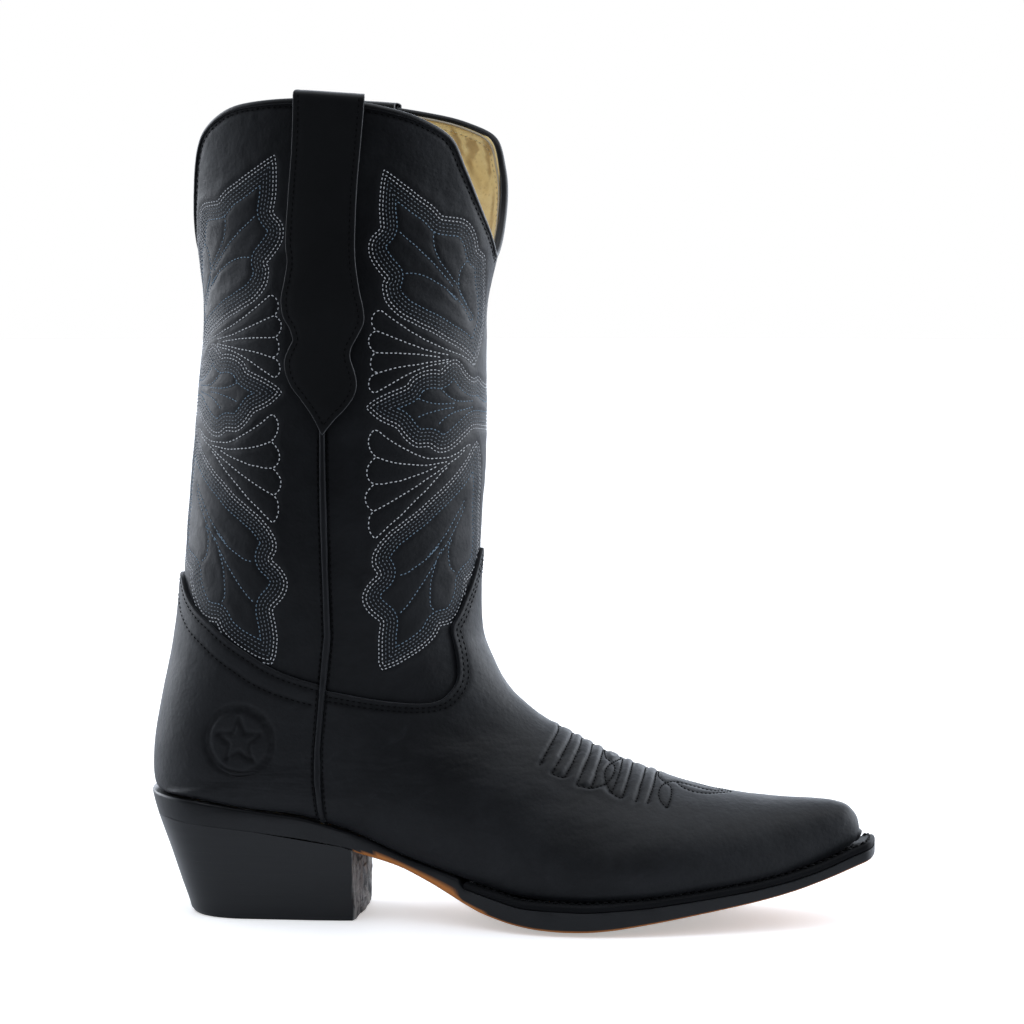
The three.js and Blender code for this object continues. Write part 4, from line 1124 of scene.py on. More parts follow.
def mat_sole():
    """Tan leather underneath, edge dressed black."""
    k = Shader("outsole_leather")
    grain = k.noise(scale=60, detail=6, rough=0.62, distortion=0.5)
    fibre = k.noise(scale=420, detail=4, rough=0.7, stretch=(0.35, 1, 1))
    tan = k.ramp(grain, (0.25, (0.60, 0.19, 0.035)), (0.55, (0.74, 0.26, 0.055)),
                 (0.85, (0.82, 0.34, 0.09)))
    tan = k.mix(k.remap(fibre, (0.4, 0.75), (0.0, 0.35)), tan, (0.38, 0.13, 0.035))
    scratch = k.noise(scale=35, detail=5, rough=0.7, stretch=(0.25, 2.2, 1), distortion=2.0)
    tan = k.mix(k.remap(scratch, (0.62, 0.72), (0.0, 0.35)), tan, (0.32, 0.12, 0.04))
    black = k.ramp(k.noise(scale=45, detail=5, rough=0.6),
                   (0.3, (0.0055, 0.0058, 0.0065)), (0.75, (0.0115, 0.012, 0.0135)))
    edge = k.attr("edge")
    normal = k.bumps(
        (k.noise(scale=700, detail=4, rough=0.65), 0.18, 0.00025),
        (k.noise(scale=38, detail=4, rough=0.6, stretch=(0.4, 1, 2.5)), 0.25, 0.0007))
    return k.set(Base_Color=k.mix(edge, tan, black), Normal=normal,
                 Roughness=k.remap(edge, (0, 1), (0.5, 0.36)))


HEEL_STREAK = (0.2, 0.2, 3.0)
HEEL_DARK, HEEL_LIGHT = (0.0052, 0.0055, 0.0062), (0.0095, 0.010, 0.0112)


def mat_edge(name, dark, light, rough, strength=0.2, coat=0.0, spec=0.5):
    """Dressed surface with streaks across its height."""
    k = Shader(name)
    streaks = k.noise(scale=90, detail=5, rough=0.6, stretch=HEEL_STREAK)
    patches = k.noise(scale=60, detail=4, rough=0.6)
    k.set(Specular_IOR_Level=spec, Base_Color=k.ramp(streaks, (0.3, dark), (0.75, light)),
          Roughness=k.remap(patches, (0.3, 0.75), (rough - 0.04, rough + 0.07)),
          Normal=k.bumps((k.noise(scale=900, detail=3, rough=0.6), 0.08, 0.0002),
                         (streaks, strength, 0.0005)))
    if coat:
        k.set(Coat_Weight=coat, Coat_Roughness=0.22)
    return k.mat


def mat_heel():
    """Heel side polished black; the front face is rough, creased dark grey."""
    k = Shader("heel_black_with_rough_breast")
    streaks = k.noise(scale=90, detail=5, rough=0.6, stretch=HEEL_STREAK)
    side = k.ramp(streaks, (0.3, HEEL_DARK), (0.75, HEEL_LIGHT))
    marble = k.noise(scale=70, detail=6, rough=0.66, stretch=(1, 1.0, 0.55), distortion=2.6)
    face = k.ramp(marble, (0.36, (0.004, 0.004, 0.0042)), (0.45, (0.14, 0.14, 0.136)),
                  (0.54, (0.50, 0.50, 0.48)), (0.64, (0.04, 0.04, 0.04)),
                  (0.72, (0.34, 0.34, 0.33)))
    breast = k.attr("breast")
    normal = k.new("ShaderNodeMix", data_type="VECTOR")
    k.put(normal.inputs["Factor"], breast)
    k.put(normal.inputs[4], k.bumps((k.noise(scale=900, detail=3, rough=0.6), 0.06, 0.0002)))
    k.put(normal.inputs[5], k.bumps((marble, 0.9, 0.0016)))
    return k.set(Base_Color=k.mix(breast, side, face), Normal=normal.outputs[1],
                 Roughness=k.remap(breast, (0, 1), (0.31, 0.62)),
                 Coat_Weight=k.remap(breast, (0, 1), (0.22, 0.0)), Coat_Roughness=0.22)


def mat_plain(name, dark, light, rough, scale, metal=0.0, bump=0.2, stretch=None):
    k = Shader(name)
    n = k.noise(scale=scale, detail=5, rough=0.65, stretch=stretch)
    return k.set(Base_Color=k.ramp(n, (0.3, dark), (0.72, light)), Metallic=metal,
                 Roughness=k.remap(n, (0.2, 0.8), (rough - 0.06, rough + 0.06)),
                 Normal=k.bumps((n, bump, 0.0003)))


M = {
    "upper": mat_leather("upper_black_leather", (0.0032, 0.0037, 0.0049),
                         (0.0060, 0.0068, 0.0086), (0.0120, 0.0130, 0.0155), sheen=0.085),
    "vamp": mat_leather("vamp_black_leather", (0.0050, 0.0055, 0.0068),
                        (0.0095, 0.0102, 0.0120), (0.0180, 0.0190, 0.0215),
                        rough=0.54, scuff=0.8, sheen=0.085),
    "strap": mat_leather("strap_black_leather", (0.0032, 0.0035, 0.0042),
                         (0.0048, 0.0052, 0.006), (0.0075, 0.008, 0.009),
                         rough=0.5, sheen=0.05),
    "binding": mat_leather("binding_black_leather", (0.0032, 0.0035, 0.0042),
                           (0.005, 0.0054, 0.0063), (0.0085, 0.009, 0.0102),
                           rough=0.42, grain=0.7, sheen=0.05),
    "piping": mat_leather("piping_black_leather", (0.0055, 0.006, 0.0072),
                          (0.0085, 0.0092, 0.0108), (0.013, 0.0138, 0.0158),
                          rough=0.42, grain=0.6, sheen=0.08),
    "strap_edge": mat_strap(),
    "lining": mat_lining(),
    "white": mat_thread("thread_white", (0.84, 0.85, 0.87), (0.60, 0.62, 0.65)),
    "fan": mat_thread("thread_bright_white", (0.90, 0.91, 0.92), (0.66, 0.68, 0.70)),
    "grey": mat_thread("thread_grey", (0.29, 0.33, 0.37), (0.17, 0.20, 0.23)),
    "blue": mat_thread("thread_steel_blue", (0.29, 0.42, 0.54), (0.18, 0.27, 0.36)),
    "black": mat_thread("thread_black", (0.0018, 0.0019, 0.0022), (0.0042, 0.0044, 0.005),
                        rough=0.6, sheen=0.0, spec=0.12),
    "cream_edge": mat_thread("lining_cut_edge", (0.55, 0.50, 0.40), (0.38, 0.33, 0.25),
                             rough=0.8),
    "cream": mat_thread("thread_cream", (0.72, 0.60, 0.36), (0.50, 0.38, 0.18)),
    "sole": mat_sole(),
    "welt": mat_edge("welt_black", (0.004, 0.0043, 0.005), (0.009, 0.0095, 0.011),
                     rough=0.62, spec=0.12),
    "heel_polished": mat_edge("heel_black_polished", HEEL_DARK, HEEL_LIGHT,
                              rough=0.30, strength=0.06, coat=0.25),
    "lining_inner": mat_edge("lining_inner_dark", (0.05, 0.032, 0.014), (0.075, 0.05, 0.022),
                             rough=0.8, spec=0.1),
    "heel": mat_heel(),
    "rubber": mat_plain("top_lift_rubber", (0.007, 0.0072, 0.0078), (0.014, 0.0144, 0.0152),
                        rough=0.55, scale=500),
    "stiff": mat_plain("stiffener_board", (0.25, 0.15, 0.075), (0.36, 0.23, 0.12),
                       rough=0.8, scale=300),
    "insole": mat_plain("insole_leather", (0.40, 0.24, 0.10), (0.52, 0.34, 0.16),
                        rough=0.7, scale=200),
    "pad": mat_plain("seat_pad_leather", (0.52, 0.36, 0.14), (0.66, 0.49, 0.22),
                     rough=0.65, scale=160),
    "cork": mat_plain("cork_filler", (0.22, 0.11, 0.04), (0.42, 0.25, 0.11),
                      rough=0.92, scale=450, bump=0.6),
    "steel": mat_plain("shank_steel", (0.32, 0.33, 0.34), (0.45, 0.46, 0.47),
                       rough=0.34, scale=300, metal=1.0, stretch=(0.1, 1, 1)),
    "brass": mat_plain("nail_brass", (0.50, 0.34, 0.12), (0.62, 0.45, 0.18),
                       rough=0.36, scale=600, metal=1.0),
    "peg": mat_plain("peg_wood", (0.50, 0.33, 0.15), (0.66, 0.48, 0.26),
                     rough=0.7, scale=260, stretch=(1, 1, 0.15)),
}

# ------------------------------------------------------------------ stitched pattern
# (girth, drop) places on the outer half of the front panel
UPPER_WING = points(
    -16.9,120.5, -19.2,117.2, -23.3,114.6, -28.2,112.1, -33.2,110, -37.8,107.7, -42.6,105.4,
    -47.2,103.6, -51.2,101.7, -55.6,99.7, -59.1,97.3, -62.3,94.3, -64.4,91.4, -64.8,90.2,
    -65.8,87.2, -65.9,84.2, -65,83.3, -67.7,80.9, -71.2,77.2, -73.6,73.8, -74.7,70.8,
    -74.8,67.4, -73.6,64.8, -72,63.3, -70.6,61.6, -71.2,58.9, -72.1,54.6, -72.4,50.4,
    -72.5,46.2, -72.3,41.9, -71.6,37.5, -68.2,39.4, -63,42.6, -57.7,45.8, -52.3,49.2,
    -47.4,51.9, -43.6,54.7, -41.4,56.7, -38.2,57.2, -34.1,57.6, -30.7,58.1, -27.5,59.6,
    -25.1,61.8, -23,64.6, -21.7,67.1, -20.8,69.7, -20.1,71, -15.2,73.6, -13.7,76.2,
    -12.1,81.0, -9.6,85.5, -7.3,89.9, -5.6,94.6, -5.1,99.0, -6.3,104.9, -9.0,109.6,
    -12.2,114.2, -14.7,117.6)
LOWER_WING = points(
    -13.1,152.5, -16.2,154.8, -19.5,158.4, -22.8,161.7, -25.8,164.5, -29.1,167.3, -32.4,170,
    -35.6,172.6, -39,175.1, -42.3,177.9, -45.4,180.7, -48.5,183, -51.6,185.2, -54.5,187.5,
    -57.5,189.7, -59.9,192.4, -62,195, -63.2,197.7, -62.9,196.5, -64,199.4, -64.2,201.9,
    -63.4,204.9, -61.6,207.2, -60.8,208.6, -62.3,209.9, -64.5,212.5, -66,215.6, -66.4,218.1,
    -65.7,221.1, -63.4,224.7, -60.8,227.2, -58.1,229.8, -58.1,232.5, -58.5,236.1,
    -58.8,240.6, -59.1,245.2, -59.5,249.4, -58.7,252.8, -55.4,252, -51.4,250.7, -46.8,248.5,
    -42.7,246.4, -38.9,244.2, -35.5,241.7, -32.4,238.7, -30.1,234.5, -27.1,234.3,
    -23.9,233.5, -20.9,231.8, -18.3,228.5, -16.2,224.6, -14.9,220.6, -14.3,217, -14.7,214.5,
    -10.8,212.9, -7.3,210.7, -4.3,207.5, -3.6,202.0, -4.0,194.0, -5.2,184.0, -6.6,174.0,
    -8.2,164.0, -10.2,157.0)
LEAF_HALF = points(
    -12.8,125.1, -16.8,125.8, -20.6,124.6, -23.4,122.5, -25.9,119.6, -28.9,117.7,
    -32.3,117.9, -35.4,119.8, -38.1,121.8, -40.4,121.5, -43.7,121.6, -47.4,122.4,
    -50.5,123.9, -52.7,125.7, -53.8,127.5, -55.3,128.3, -58.7,129.6, -62.4,131, -66.5,132.9,
    -69.8,134.9, -71.7,136.9, -69.3,139.3, -66,141.9, -62.2,143.8, -58.8,145.2, -57.7,146.1,
    -55.1,149.3, -52.6,151.6, -50.1,153.2, -48,153.8, -45.4,153.7, -42.5,153.8, -40.5,155.1,
    -38.2,156.1, -35.4,156.2, -32.5,155.6, -29.5,154.2, -26.9,152.6, -24.2,150.8,
    -21.1,148.9, -17.8,147.2, -14.7,147)
LEAF = np.vstack([LEAF_HALF, points(-8.5,147.6, 0.0,148.2, 8.5,147.6),
                  mirror(LEAF_HALF), points(7.6,127.6, 0.0,129.0, -7.6,127.6)])
# veins inside the outlines, and the fans of scallops and ribs between them
SINGLE_LINES = (
    ("blue", (      # upper wing
        points(-62,63.1, -59.6,65, -56.5,67.2, -53.7,69.1, -50.2,71.9, -46.5,74.7, -42.6,78,
               -39,81.2, -35.9,83.8, -32.5,87),
        points(-44.9,62.7, -45.2,65.3, -44.8,68.3, -43.5,71.7, -41.4,75.2, -38.9,78.1,
               -35.9,81, -33.2,83.7, -30.5,85.9, -28.5,88.6, -25.7,91.7, -22.3,95.2,
               -28.4,89.3, -25.7,92.2, -23.1,94.7, -20.3,97, -17,99.8, -18.2,101.6),
        points(-57.1,80.8, -53.4,80.8, -49.5,81.5, -45.3,83, -41,85.1, -37,87.1, -33.3,89.8,
               -29.3,92.9, -35,88.6, -31.5,90.7, -27.7,93.2, -24.2,96.1, -21.2,98.9,
               -18.4,101.8),
        points(-25.8,75.6, -27.2,76.5, -29,78.4, -30,81.1, -30,84.2, -29.3,86.5))),
    ("fan", (       # upper fan
        points(-65.6,96.2, -62.4,98.5, -58.9,100.9, -55.5,103.1, -52.1,105.3, -49,106.9,
               -45.4,108.8, -41.7,110.4, -37.4,112.1, -33.3,113.6, -29.4,114.7, -25.3,116,
               -21.4,117.7, -16.9,120.5),
        points(-65.6,96.2, -67.6,97, -68.9,98.8, -69.3,101, -68.7,103, -67.4,104.8),
        points(-67.4,104.8, -63.5,106.2, -59,108, -54.3,109.8, -50,111.3, -45.5,112.9,
               -41.8,113.8, -37.4,114.7, -33.3,115.4),
        points(-67.4,104.8, -69.3,106.1, -70.5,108.1, -70.4,110.5, -69.4,112.5, -68,113.9),
        points(-68,113.9, -64.1,114.1, -59.1,114.2, -53.5,114.5, -49.2,114.8, -44.6,115.4,
               -40.9,115.8, -37.7,116.3),
        points(-68,113.9, -69.3,115.7, -69.9,118.3, -69.5,120.5, -68.1,121.9, -66.4,122.3),
        points(-66.4,122.3, -62.9,121.3, -58.7,120.3, -54,119.6, -49.2,119.1, -44.7,118.4,
               -39.9,117.9, -33.1,117.2),
        points(-66.4,122.3, -69.1,123.4, -70.5,125.6, -70.6,128, -69.7,129.8, -68,130.8),
        points(-68,130.8, -64.9,129.1, -60.8,126.9, -56.6,124.6, -52.3,122.6, -48.3,121.1,
               -44.7,120, -40.4,119.2, -37,118.8, -33.3,118))),
    ("blue", (      # leaf
        points(-38.2,128.9, -35.9,131, -33.3,132.9, -30.2,134.4, -26.4,135.1, -22.6,135.2,
               -17.5,135.3),
        points(-49.1,133.1, -45.9,134.4, -42.7,135.3, -38.8,135.8, -34.8,135.9, -29.6,135.8),
        points(-49,141.3, -45.4,140, -41.7,139.1, -38.3,138.4, -34.8,137.9, -29.9,137.6),
        points(-38.6,144.6, -37.2,143.1, -34.7,141.5, -31.5,140, -28.7,139.3, -24.5,138.7,
               -20.5,138.2, -17.5,137.7))),
    ("fan", (       # lower fan
        points(-67.9,146.2, -66.2,146.7, -63,149.2, -59.4,151.5, -55.7,153.6, -52.4,155.2,
               -49,156.8, -45.6,158, -42.5,158.7, -38.5,158.7, -34.8,158.7, -31.8,158.4,
               -29.3,157.6, -26.6,156.8, -23.9,155.4, -20.8,154, -18.1,153.9),
        points(-67.9,146.2, -69.2,147.6, -70.1,149.5, -70.2,151.8, -69.5,154, -68.2,156.1,
               -66.6,157.6),
        points(-66.6,157.6, -62.9,158.9, -59.3,159.9, -55.3,160.6, -51.2,161, -47,161.4,
               -43.6,161.5, -40.1,161.2, -37,160.8, -32.7,160.3),
        points(-66.6,157.6, -68.4,159.3, -69.8,161.5, -70.2,163.8, -69.7,166, -68.4,167.9,
               -66.6,169),
        points(-66.6,169, -62.5,169, -59.5,168.4, -55.6,167.9, -51.6,166.7, -47.6,165.5,
               -43.4,164.2, -40.5,163, -38.3,162.1),
        points(-66.6,169, -68.5,171, -69.9,173.6, -69.7,176.3, -68.5,178.6, -66,180.7),
        points(-66,180.7, -62.5,178.9, -58.8,176.8, -55,174.6, -51.2,172.4, -47.2,170,
               -43.2,167.5, -38.9,165.1, -34.5,162.5, -30.7,160.5, -26.5,158.5, -22.3,155.6),
        points(-66,180.7, -67.3,182.8, -67.5,185.5, -67.1,188.3, -65.9,190.6, -64,192.6),
        points(-64,192.6, -61.3,190, -57.8,186.4, -54.2,183.2, -50.5,179.4, -46.8,175.6,
               -42.8,171.9, -38.7,167.8, -35.3,164.5, -32.5,162.7))),
    ("blue", (      # lower wing
        points(-51.5,209.2, -48.1,208.4, -44.9,206.3, -41.5,204.2, -38.5,202, -35.9,199.4,
               -33.7,197.2, -39.2,202.1, -36.4,199.1, -33.9,196.5, -31.4,193.4, -28.8,190,
               -26.6,186.5, -24.2,183, -21.6,179.6, -20.5,177.3),
        points(-49.7,226.6, -46.6,223.3, -44.2,220, -41.9,216.3, -39.7,212.8, -37.6,209.3,
               -35.8,206.5, -34.4,204, -33.2,201.1, -32,199, -32.4,201, -30.4,197.9,
               -28.2,194.8, -26,191, -23.7,187.1, -21.7,184, -20,180.1),
        points(-33.2,226.6, -35,224.8, -35.7,221.2, -35.9,217.6, -36.1,213.7, -35.8,210.3,
               -35,206.9, -34.4,204.2),
        points(-23,209.9, -26,207.7, -27.2,205, -28,201.9, -28.3,198.5, -28.1,195.4,
               -27.9,197.3, -26.9,194.5))),
)
ROW_PITCH = 1.5
ROW_KINDS = ("white", "white", "grey", "grey", "grey", "blue")      # from the outline inward


def turn_over(line):
    """A front-panel line turned over about the outer side seam, in the back chart."""
    drop = line[:, 1] - 6.2 - 2.0 * smoothstep(150, 250, line[:, 1])
    seam = seam_girth(OUTER, drop)
    half = half_at(drop)
    back_room, front_room = half + seam, -seam
    girth = -(half + (2 * seam - line[:, 0]))
    # the outer end of the pattern follows the narrower back half
    outer_end = smoothstep(0.55, 1.0, 1 + girth / back_room)
    girth = girth * (1 - outer_end) + (line[:, 0] * back_room / front_room) * outer_end
    return np.stack([girth, drop], 1)


def leaf_halves(line):
    """The outer-side stretches of a row of the leaf, which lies across the front line."""
    parts = runs(line, line[:, 0] <= 0.05)
    if len(parts) > 1 and np.linalg.norm(parts[-1][-1] - parts[0][0]) < 1.5:
        parts[0] = np.vstack([parts.pop(), parts[0]])
    return [part for part in parts if len(part) > 6]


def pattern_rows():
    """(kind, line, lies across the front line) for every row on the front panel."""
    rows = []
    for outline, across in ((UPPER_WING, False), (LOWER_WING, False), (LEAF, True)):
        outline = ccw(smooth_curve(outline, 0.5, True, corner=52))
        for i, kind in enumerate(ROW_KINDS):
            pieces = offset_row(outline, ROW_PITCH * i) if i else [
                np.vstack([outline, outline[:1]])]
            rows += [(kind, piece, across) for piece in pieces]
    for kind, lines in SINGLE_LINES:
        rows += [(kind, smooth_curve(line, 0.6), False) for line in lines]
    return rows


def clip_rows(rows, edge, reach):
    """Keeps the parts of rows that lie above the vamp's or counter's top edge."""
    above = np.vstack([[[-reach, -20], [-reach, edge[0, 1]]], edge,
                       [[reach, edge[-1, 1]], [reach, -20]]])
    return [(kind, run) for kind, line in rows
            for run in runs(line, inside(above, line)) if len(run) > 5]


PANEL_ROWS = {"front": [], "back": []}
for kind, line, across in pattern_rows():
    PANEL_ROWS["front"].append((kind, line))
    if not across:
        PANEL_ROWS["front"].append((kind, mirror(line)))
    for part in leaf_halves(line) if across else [line]:
        part = turn_over(part)
        PANEL_ROWS["back"] += [(kind, part), (kind, mirror(part))]
PANEL_ROWS = {chart: clip_rows(PANEL_ROWS[chart], FOOT_EDGE[chart], reach)
              for chart, reach in (("front", 170), ("back", 120))}

# ------------------------------------------------------------------ shaft panels and linings
RIM_ROW = 3.5                        # stitch row below the top line
SHAFT_DEPTHS = (2.0, 3.3)
LINING_DEPTHS = (3.6, 4.6)


def rim_row_field(chart):
    lines = [rim_chart(side, RIM_ROW) for side in (OUTER, INNER)]
    if chart == "back":
        lines = [back_line(line[np.abs(line[:, 0]) > 2]) for line in lines]
    return Field((-150, 0), (150, 300), lines, 0.75)


def shaft_relief(chart, seed):
    lines = [line for _, line in PANEL_ROWS[chart]]
    groove = Field((-120, 0), (120, 300), lines, 0.75)
    puff = Field((-120, 0), (120, 300), lines, 3.2)
    rim_row = RIM_FIELD[chart]

    def relief(girth, drop):
        low = uneven(girth, drop, seed, (0.24, 26), (0.13, 9), (0.05, 3.2))
        # soft slack folds across the lower shaft
        folds = (0.20 * noise2(girth * 0.35 + 0.2 * drop, drop, 8.5, seed + 3)
                 * smoothstep(150, 185, drop))
        return (low + folds - 0.22 * np.clip(groove(girth, drop), 0, 1.3)
                + 0.12 * np.clip(puff(girth, drop), 0, 1.4)
                - 0.25 * np.clip(rim_row(girth, drop), 0, 1.2))
    return relief


RIM_FIELD = {chart: rim_row_field(chart) for chart in ("front", "back")}
SHAFT_RELIEF = {"front": shaft_relief("front", 11), "back": shaft_relief("back", 31)}


def panel_outline(chart, lower, lap, gap):
    """Shaft panel from below the top line to a lap under the vamp or counter."""
    top = rim_in_chart(chart, lower, gap)
    if chart == "front":
        aside = 4.0
        low = resample(edge_row(chart, aside) + np.array([0, lap - aside]), 1.0)
    else:
        low = FOOT_EDGE[chart] + [0, lap]
    low = clip_to_seams(chart, low, gap)
    left = seam_run(chart, OUTER, np.arange(top[0, 1] + 1, low[0, 1] - 1, 3.0), gap)
    right = seam_run(chart, INNER, np.arange(top[-1, 1] + 1, low[-1, 1] - 1, 3.0), gap)
    return np.vstack([top, right, low[::-1], left[::-1]])


def painted_seam_shade_attr(chart, *fields):
    """Painted shade beside the side seams and in the grooves of stitch rows, given as (field, gain).
    """
    def attr(q):
        girth, drop = q[:, 0], q[:, 1]
        gap = np.minimum(*(np.abs(girth - seam_girth(side, drop, chart))
                           for side in (OUTER, INNER)))
        # painted shade fading out a few mm from each side seam
        dark = np.exp(-(gap / 2.3) ** 4)
        for field, gain in fields:
            dark = np.maximum(dark, np.clip(field(girth, drop) * gain, 0, 1))
        return {"seam": dark}
    return attr


for chart in ("front", "back"):
    ob = slab(f"leather_shaft_{chart}", panel_outline(chart, lower=1.8, lap=10, gap=0.75),
              CHART_MAP[chart], SHAFT_DEPTHS, M["upper"], grid=1.0,
              inner_grid=5, edge=0.35, relief=SHAFT_RELIEF[chart],
              attr=painted_seam_shade_attr(chart, (RIM_FIELD[chart], 0.5)))
    put(ob, "upper_leather", f"shaft_panel_{chart}")


def lining_creases(girth, drop):
    """Inner-face wrinkles: creases under the top edge beside the front and back dips,
    and slack lower down. The girth is a front chart one."""
    below = drop - rim_drop(np.clip(np.abs(girth), 0, 185))
    share = np.abs(girth) / half_at(drop)
    beside = (np.exp(-((share - 0.26) / 0.20) ** 2)
              + 0.7 * np.exp(-((share - 0.86) / 0.08) ** 2))
    upper = noise2(girth + 0.35 * drop, drop * 0.28, 2.5, 43)
    upper = (np.clip(upper - 0.22, 0, 1) * beside * smoothstep(2.5, 7, below)
             * (1 - smoothstep(12, 30, below)))
    lower = noise2(girth * 0.22, drop + 0.2 * girth, 4.0, 44)
    lower = np.clip(lower - 0.45, 0, 1) * 0.9 * smoothstep(20, 40, below)
    return upper * 2.8 + lower


def build_lining(chart):
    def front_girth(girth, drop):
        return girth if chart == "front" else from_back(girth, drop)

    def place(girth, drop, depth):
        """The sheet is turned over, so that its fine face looks into the boot."""
        depth = sum(LINING_DEPTHS) - depth
        inner = smoothstep(4.0, 4.55, depth)
        round_girth = front_girth(girth, drop)
        creases = lining_creases(round_girth, drop)
        soft = 0.5 + 0.5 * noise2(round_girth, drop, 22, 45)
        depth = depth - inner * (0.30 * creases) + inner * 0.35 * soft
        return CHART_MAP[chart](girth, drop, depth)

    def attr(q):
        # how strongly the painted crease shade darkens the lining
        creases = lining_creases(front_girth(q[:, 0], q[:, 1]), q[:, 1])
        return {"crease": np.clip(creases * 1.5, 0, 1)}

    ob = slab(f"lining_shaft_{chart}", panel_outline(chart, lower=1.4, lap=8, gap=0.3),
              place, LINING_DEPTHS, M["lining"], grid=1.3,
              inner_grid=6, edge=0.35, attr=attr)
    put(ob, "lining_leather", f"shaft_lining_{chart}")


build_lining("front")
build_lining("back")

# ------------------------------------------------------------------ vamp
# Decoration over the toe, outer half, front chart: rows with the leather standing in tucks
# between them, then the arcs and tails nearer the tip.
TUCK_LINES = (
    points(0,307.5, -6,310.5, -12.5,314.6, -18.3,319.6, -24.8,325.9, -30.9,332.4, -36.9,338.9),
    points(0,318.5, -6,321, -12.6,325.3, -20.2,332, -27.1,339.1, -32.7,344.7, -37.3,349.7),
    points(0,326.8, -5,328.8, -11.2,333, -19,339.9, -25.3,346.4, -31.2,352.4, -35.8,357),
    points(0,335.8, -6,338.4, -12.6,343.4, -20.2,350.4, -26.7,357.1, -32.2,362.7, -36.4,366.8),
    points(0,345.3, -6,347.8, -13.1,353, -20.3,359.8, -26.2,366.4, -30.1,370.3, -33.8,373.9),
    points(0,362.6, -6,365, -12.5,369.5, -19.7,375.7, -25.1,380.3, -28.7,383.2, -31.4,384.9),
    points(0,371.4, -6,373.7, -12.7,378.2, -20,384, -25.3,388.4, -29.3,391.4, -32.7,393.7),
    points(0,383.4, -6,385.4, -12.9,389.3, -19.7,393.5, -25,397.4, -28.9,400, -31.9,401.7),
    points(0,393.0, -6,394.6, -13.3,398.2, -20,401.9, -24.4,404.3, -28,406.4, -30.4,407.8),
    points(-37.3,349.7, -37.1,353.6, -35.8,357),
    points(-36.4,366.8, -35.2,370, -33.8,373.9),
    points(0,346.5, -5,349.5, -8.4,353.4, -9.9,358.8, -12.4,364.5, -17.9,370.2, -23.9,374.3,
           -28.2,375.7, -30.9,375.1, -33.8,373.9),
    points(0,361.5, -5,360.4, -10.1,360.1, -15.5,361.8, -20.2,365.9, -25,372.7, -28.2,378.9,
           -30.9,384.5, -32.2,389.8, -32.7,393.7),
)
TAIL_LINES = (
    points(0,394.6, -5,396, -8.7,399.4, -10.6,404.8, -13.6,410.2, -20.1,414.8, -25.7,417.6,
           -29.5,419.4),
    points(-5.5,409.5, -8.4,406.2, -11.3,404.6, -15.8,404.5, -21.7,407.6, -26.1,412.6,
           -29.5,419.4),
    points(-5.5,409.5, -9.2,415, -10.9,420.4, -11.2,426.4, -9.4,433.5, -5.2,440, 0,446.5),
    points(-5.5,409.5, -4.6,419.4, -4.4,429, -3.4,436, 0,441),
)


def both_sides(lines):
    smooth = [smooth_curve(line, 0.5) for line in lines]
    return [half for line in smooth for half in (line, mirror(line))]


TUCK_ROWS = both_sides(TUCK_LINES)
TOE_ROWS = TUCK_ROWS + both_sides(TAIL_LINES)
TOE_GROOVE = Field((-60, 270), (60, 470), TOE_ROWS, 0.8)
TUCK_GROOVE = Field((-60, 270), (60, 470), TUCK_ROWS, 1.7)
TUCK_PUFF = Field((-60, 270), (60, 470), TUCK_ROWS, 3.2)
VAMP_ROWS = [edge_row("front", distance) for distance in (2.4, 4.6)]
VAMP_GROOVE = Field((-130, 180), (130, 480), VAMP_ROWS, 0.85)
FOOT_GAP = 1.25                      # between vamp or counter and the side seam
FOOT_DEPTHS = (0.0, 1.7)
FOOT_GRID = 1.0
FOOT_EDGE_ROUND = 0.45


def vamp_relief(girth, drop):
    away = np.abs(girth)
    low = uneven(girth, drop, 61, (0.20, 24), (0.10, 8), (0.04, 3.0))
    toe = smoothstep(44, 34, away) * smoothstep(298, 306, drop) * smoothstep(456, 446, drop)
    puff = 0.75 * np.clip(TUCK_PUFF(girth, drop), 0, 1.15) * toe
    groove = (0.75 * np.clip(TUCK_GROOVE(girth, drop), 0, 1.1)
              + 0.34 * np.clip(TOE_GROOVE(girth, drop), 0, 1.1)) * toe
    # the lower edge turns in over the feather line
    turn_in = 0.15 + 0.6 * smoothstep(STATION_DROP[20], STATION_DROP[21] + 6, drop)
    low = low - (turn_in * (1 - smoothstep(0, 4.8, half_at(drop) - away))
                 * smoothstep(262, 270, drop))
    # folds where the foot bends
    folds = (0.22 * np.sin((drop - 250) / 5.2 + 0.05 * away) * smoothstep(228, 245, drop)
             * smoothstep(300, 272, drop) * smoothstep(46, 18, away))
    return low + puff - groove - 0.22 * np.clip(VAMP_GROOVE(girth, drop), 0, 1.2) + folds


def foot_outline(chart, tail):
    """Vamp or counter: top edge, seam, tail along the foot's lower edge, seam."""
    edge = FOOT_EDGE[chart]
    left = np.arange(edge[0, 1] + 2, SEAM_END[OUTER] - 1.2, 3.0)
    right = np.arange(edge[-1, 1] + 2, SEAM_END[INNER] - 1.2, 3.0)
    return np.vstack([clip_to_seams(chart, edge, FOOT_GAP),
                      seam_run(chart, INNER, right, FOOT_GAP), tail,
                      seam_run(chart, OUTER, left, FOOT_GAP)[::-1]])


def feather_run(side):
    """The feather line from the side seam to just past the toe end."""
    over_tip = [DROP_MAX, DROP_MAX + 1.4, DROP_MAX + 2.7]
    drop = np.append(np.arange(SEAM_END[side] + 1, DROP_MAX, 2.0), over_tip)
    return np.stack([side * (half_at(drop) - 0.02), drop], 1)


ob = slab("leather_vamp",
          foot_outline("front", np.vstack([feather_run(INNER), feather_run(OUTER)[::-1]])),
          front_map, FOOT_DEPTHS, M["vamp"], grid=FOOT_GRID, inner_grid=5,
          edge=FOOT_EDGE_ROUND, relief=vamp_relief,
          attr=painted_seam_shade_attr("front", (VAMP_GROOVE, 0.42), (TOE_GROOVE, 0.6)))
put(ob, "upper_leather", "vamp")

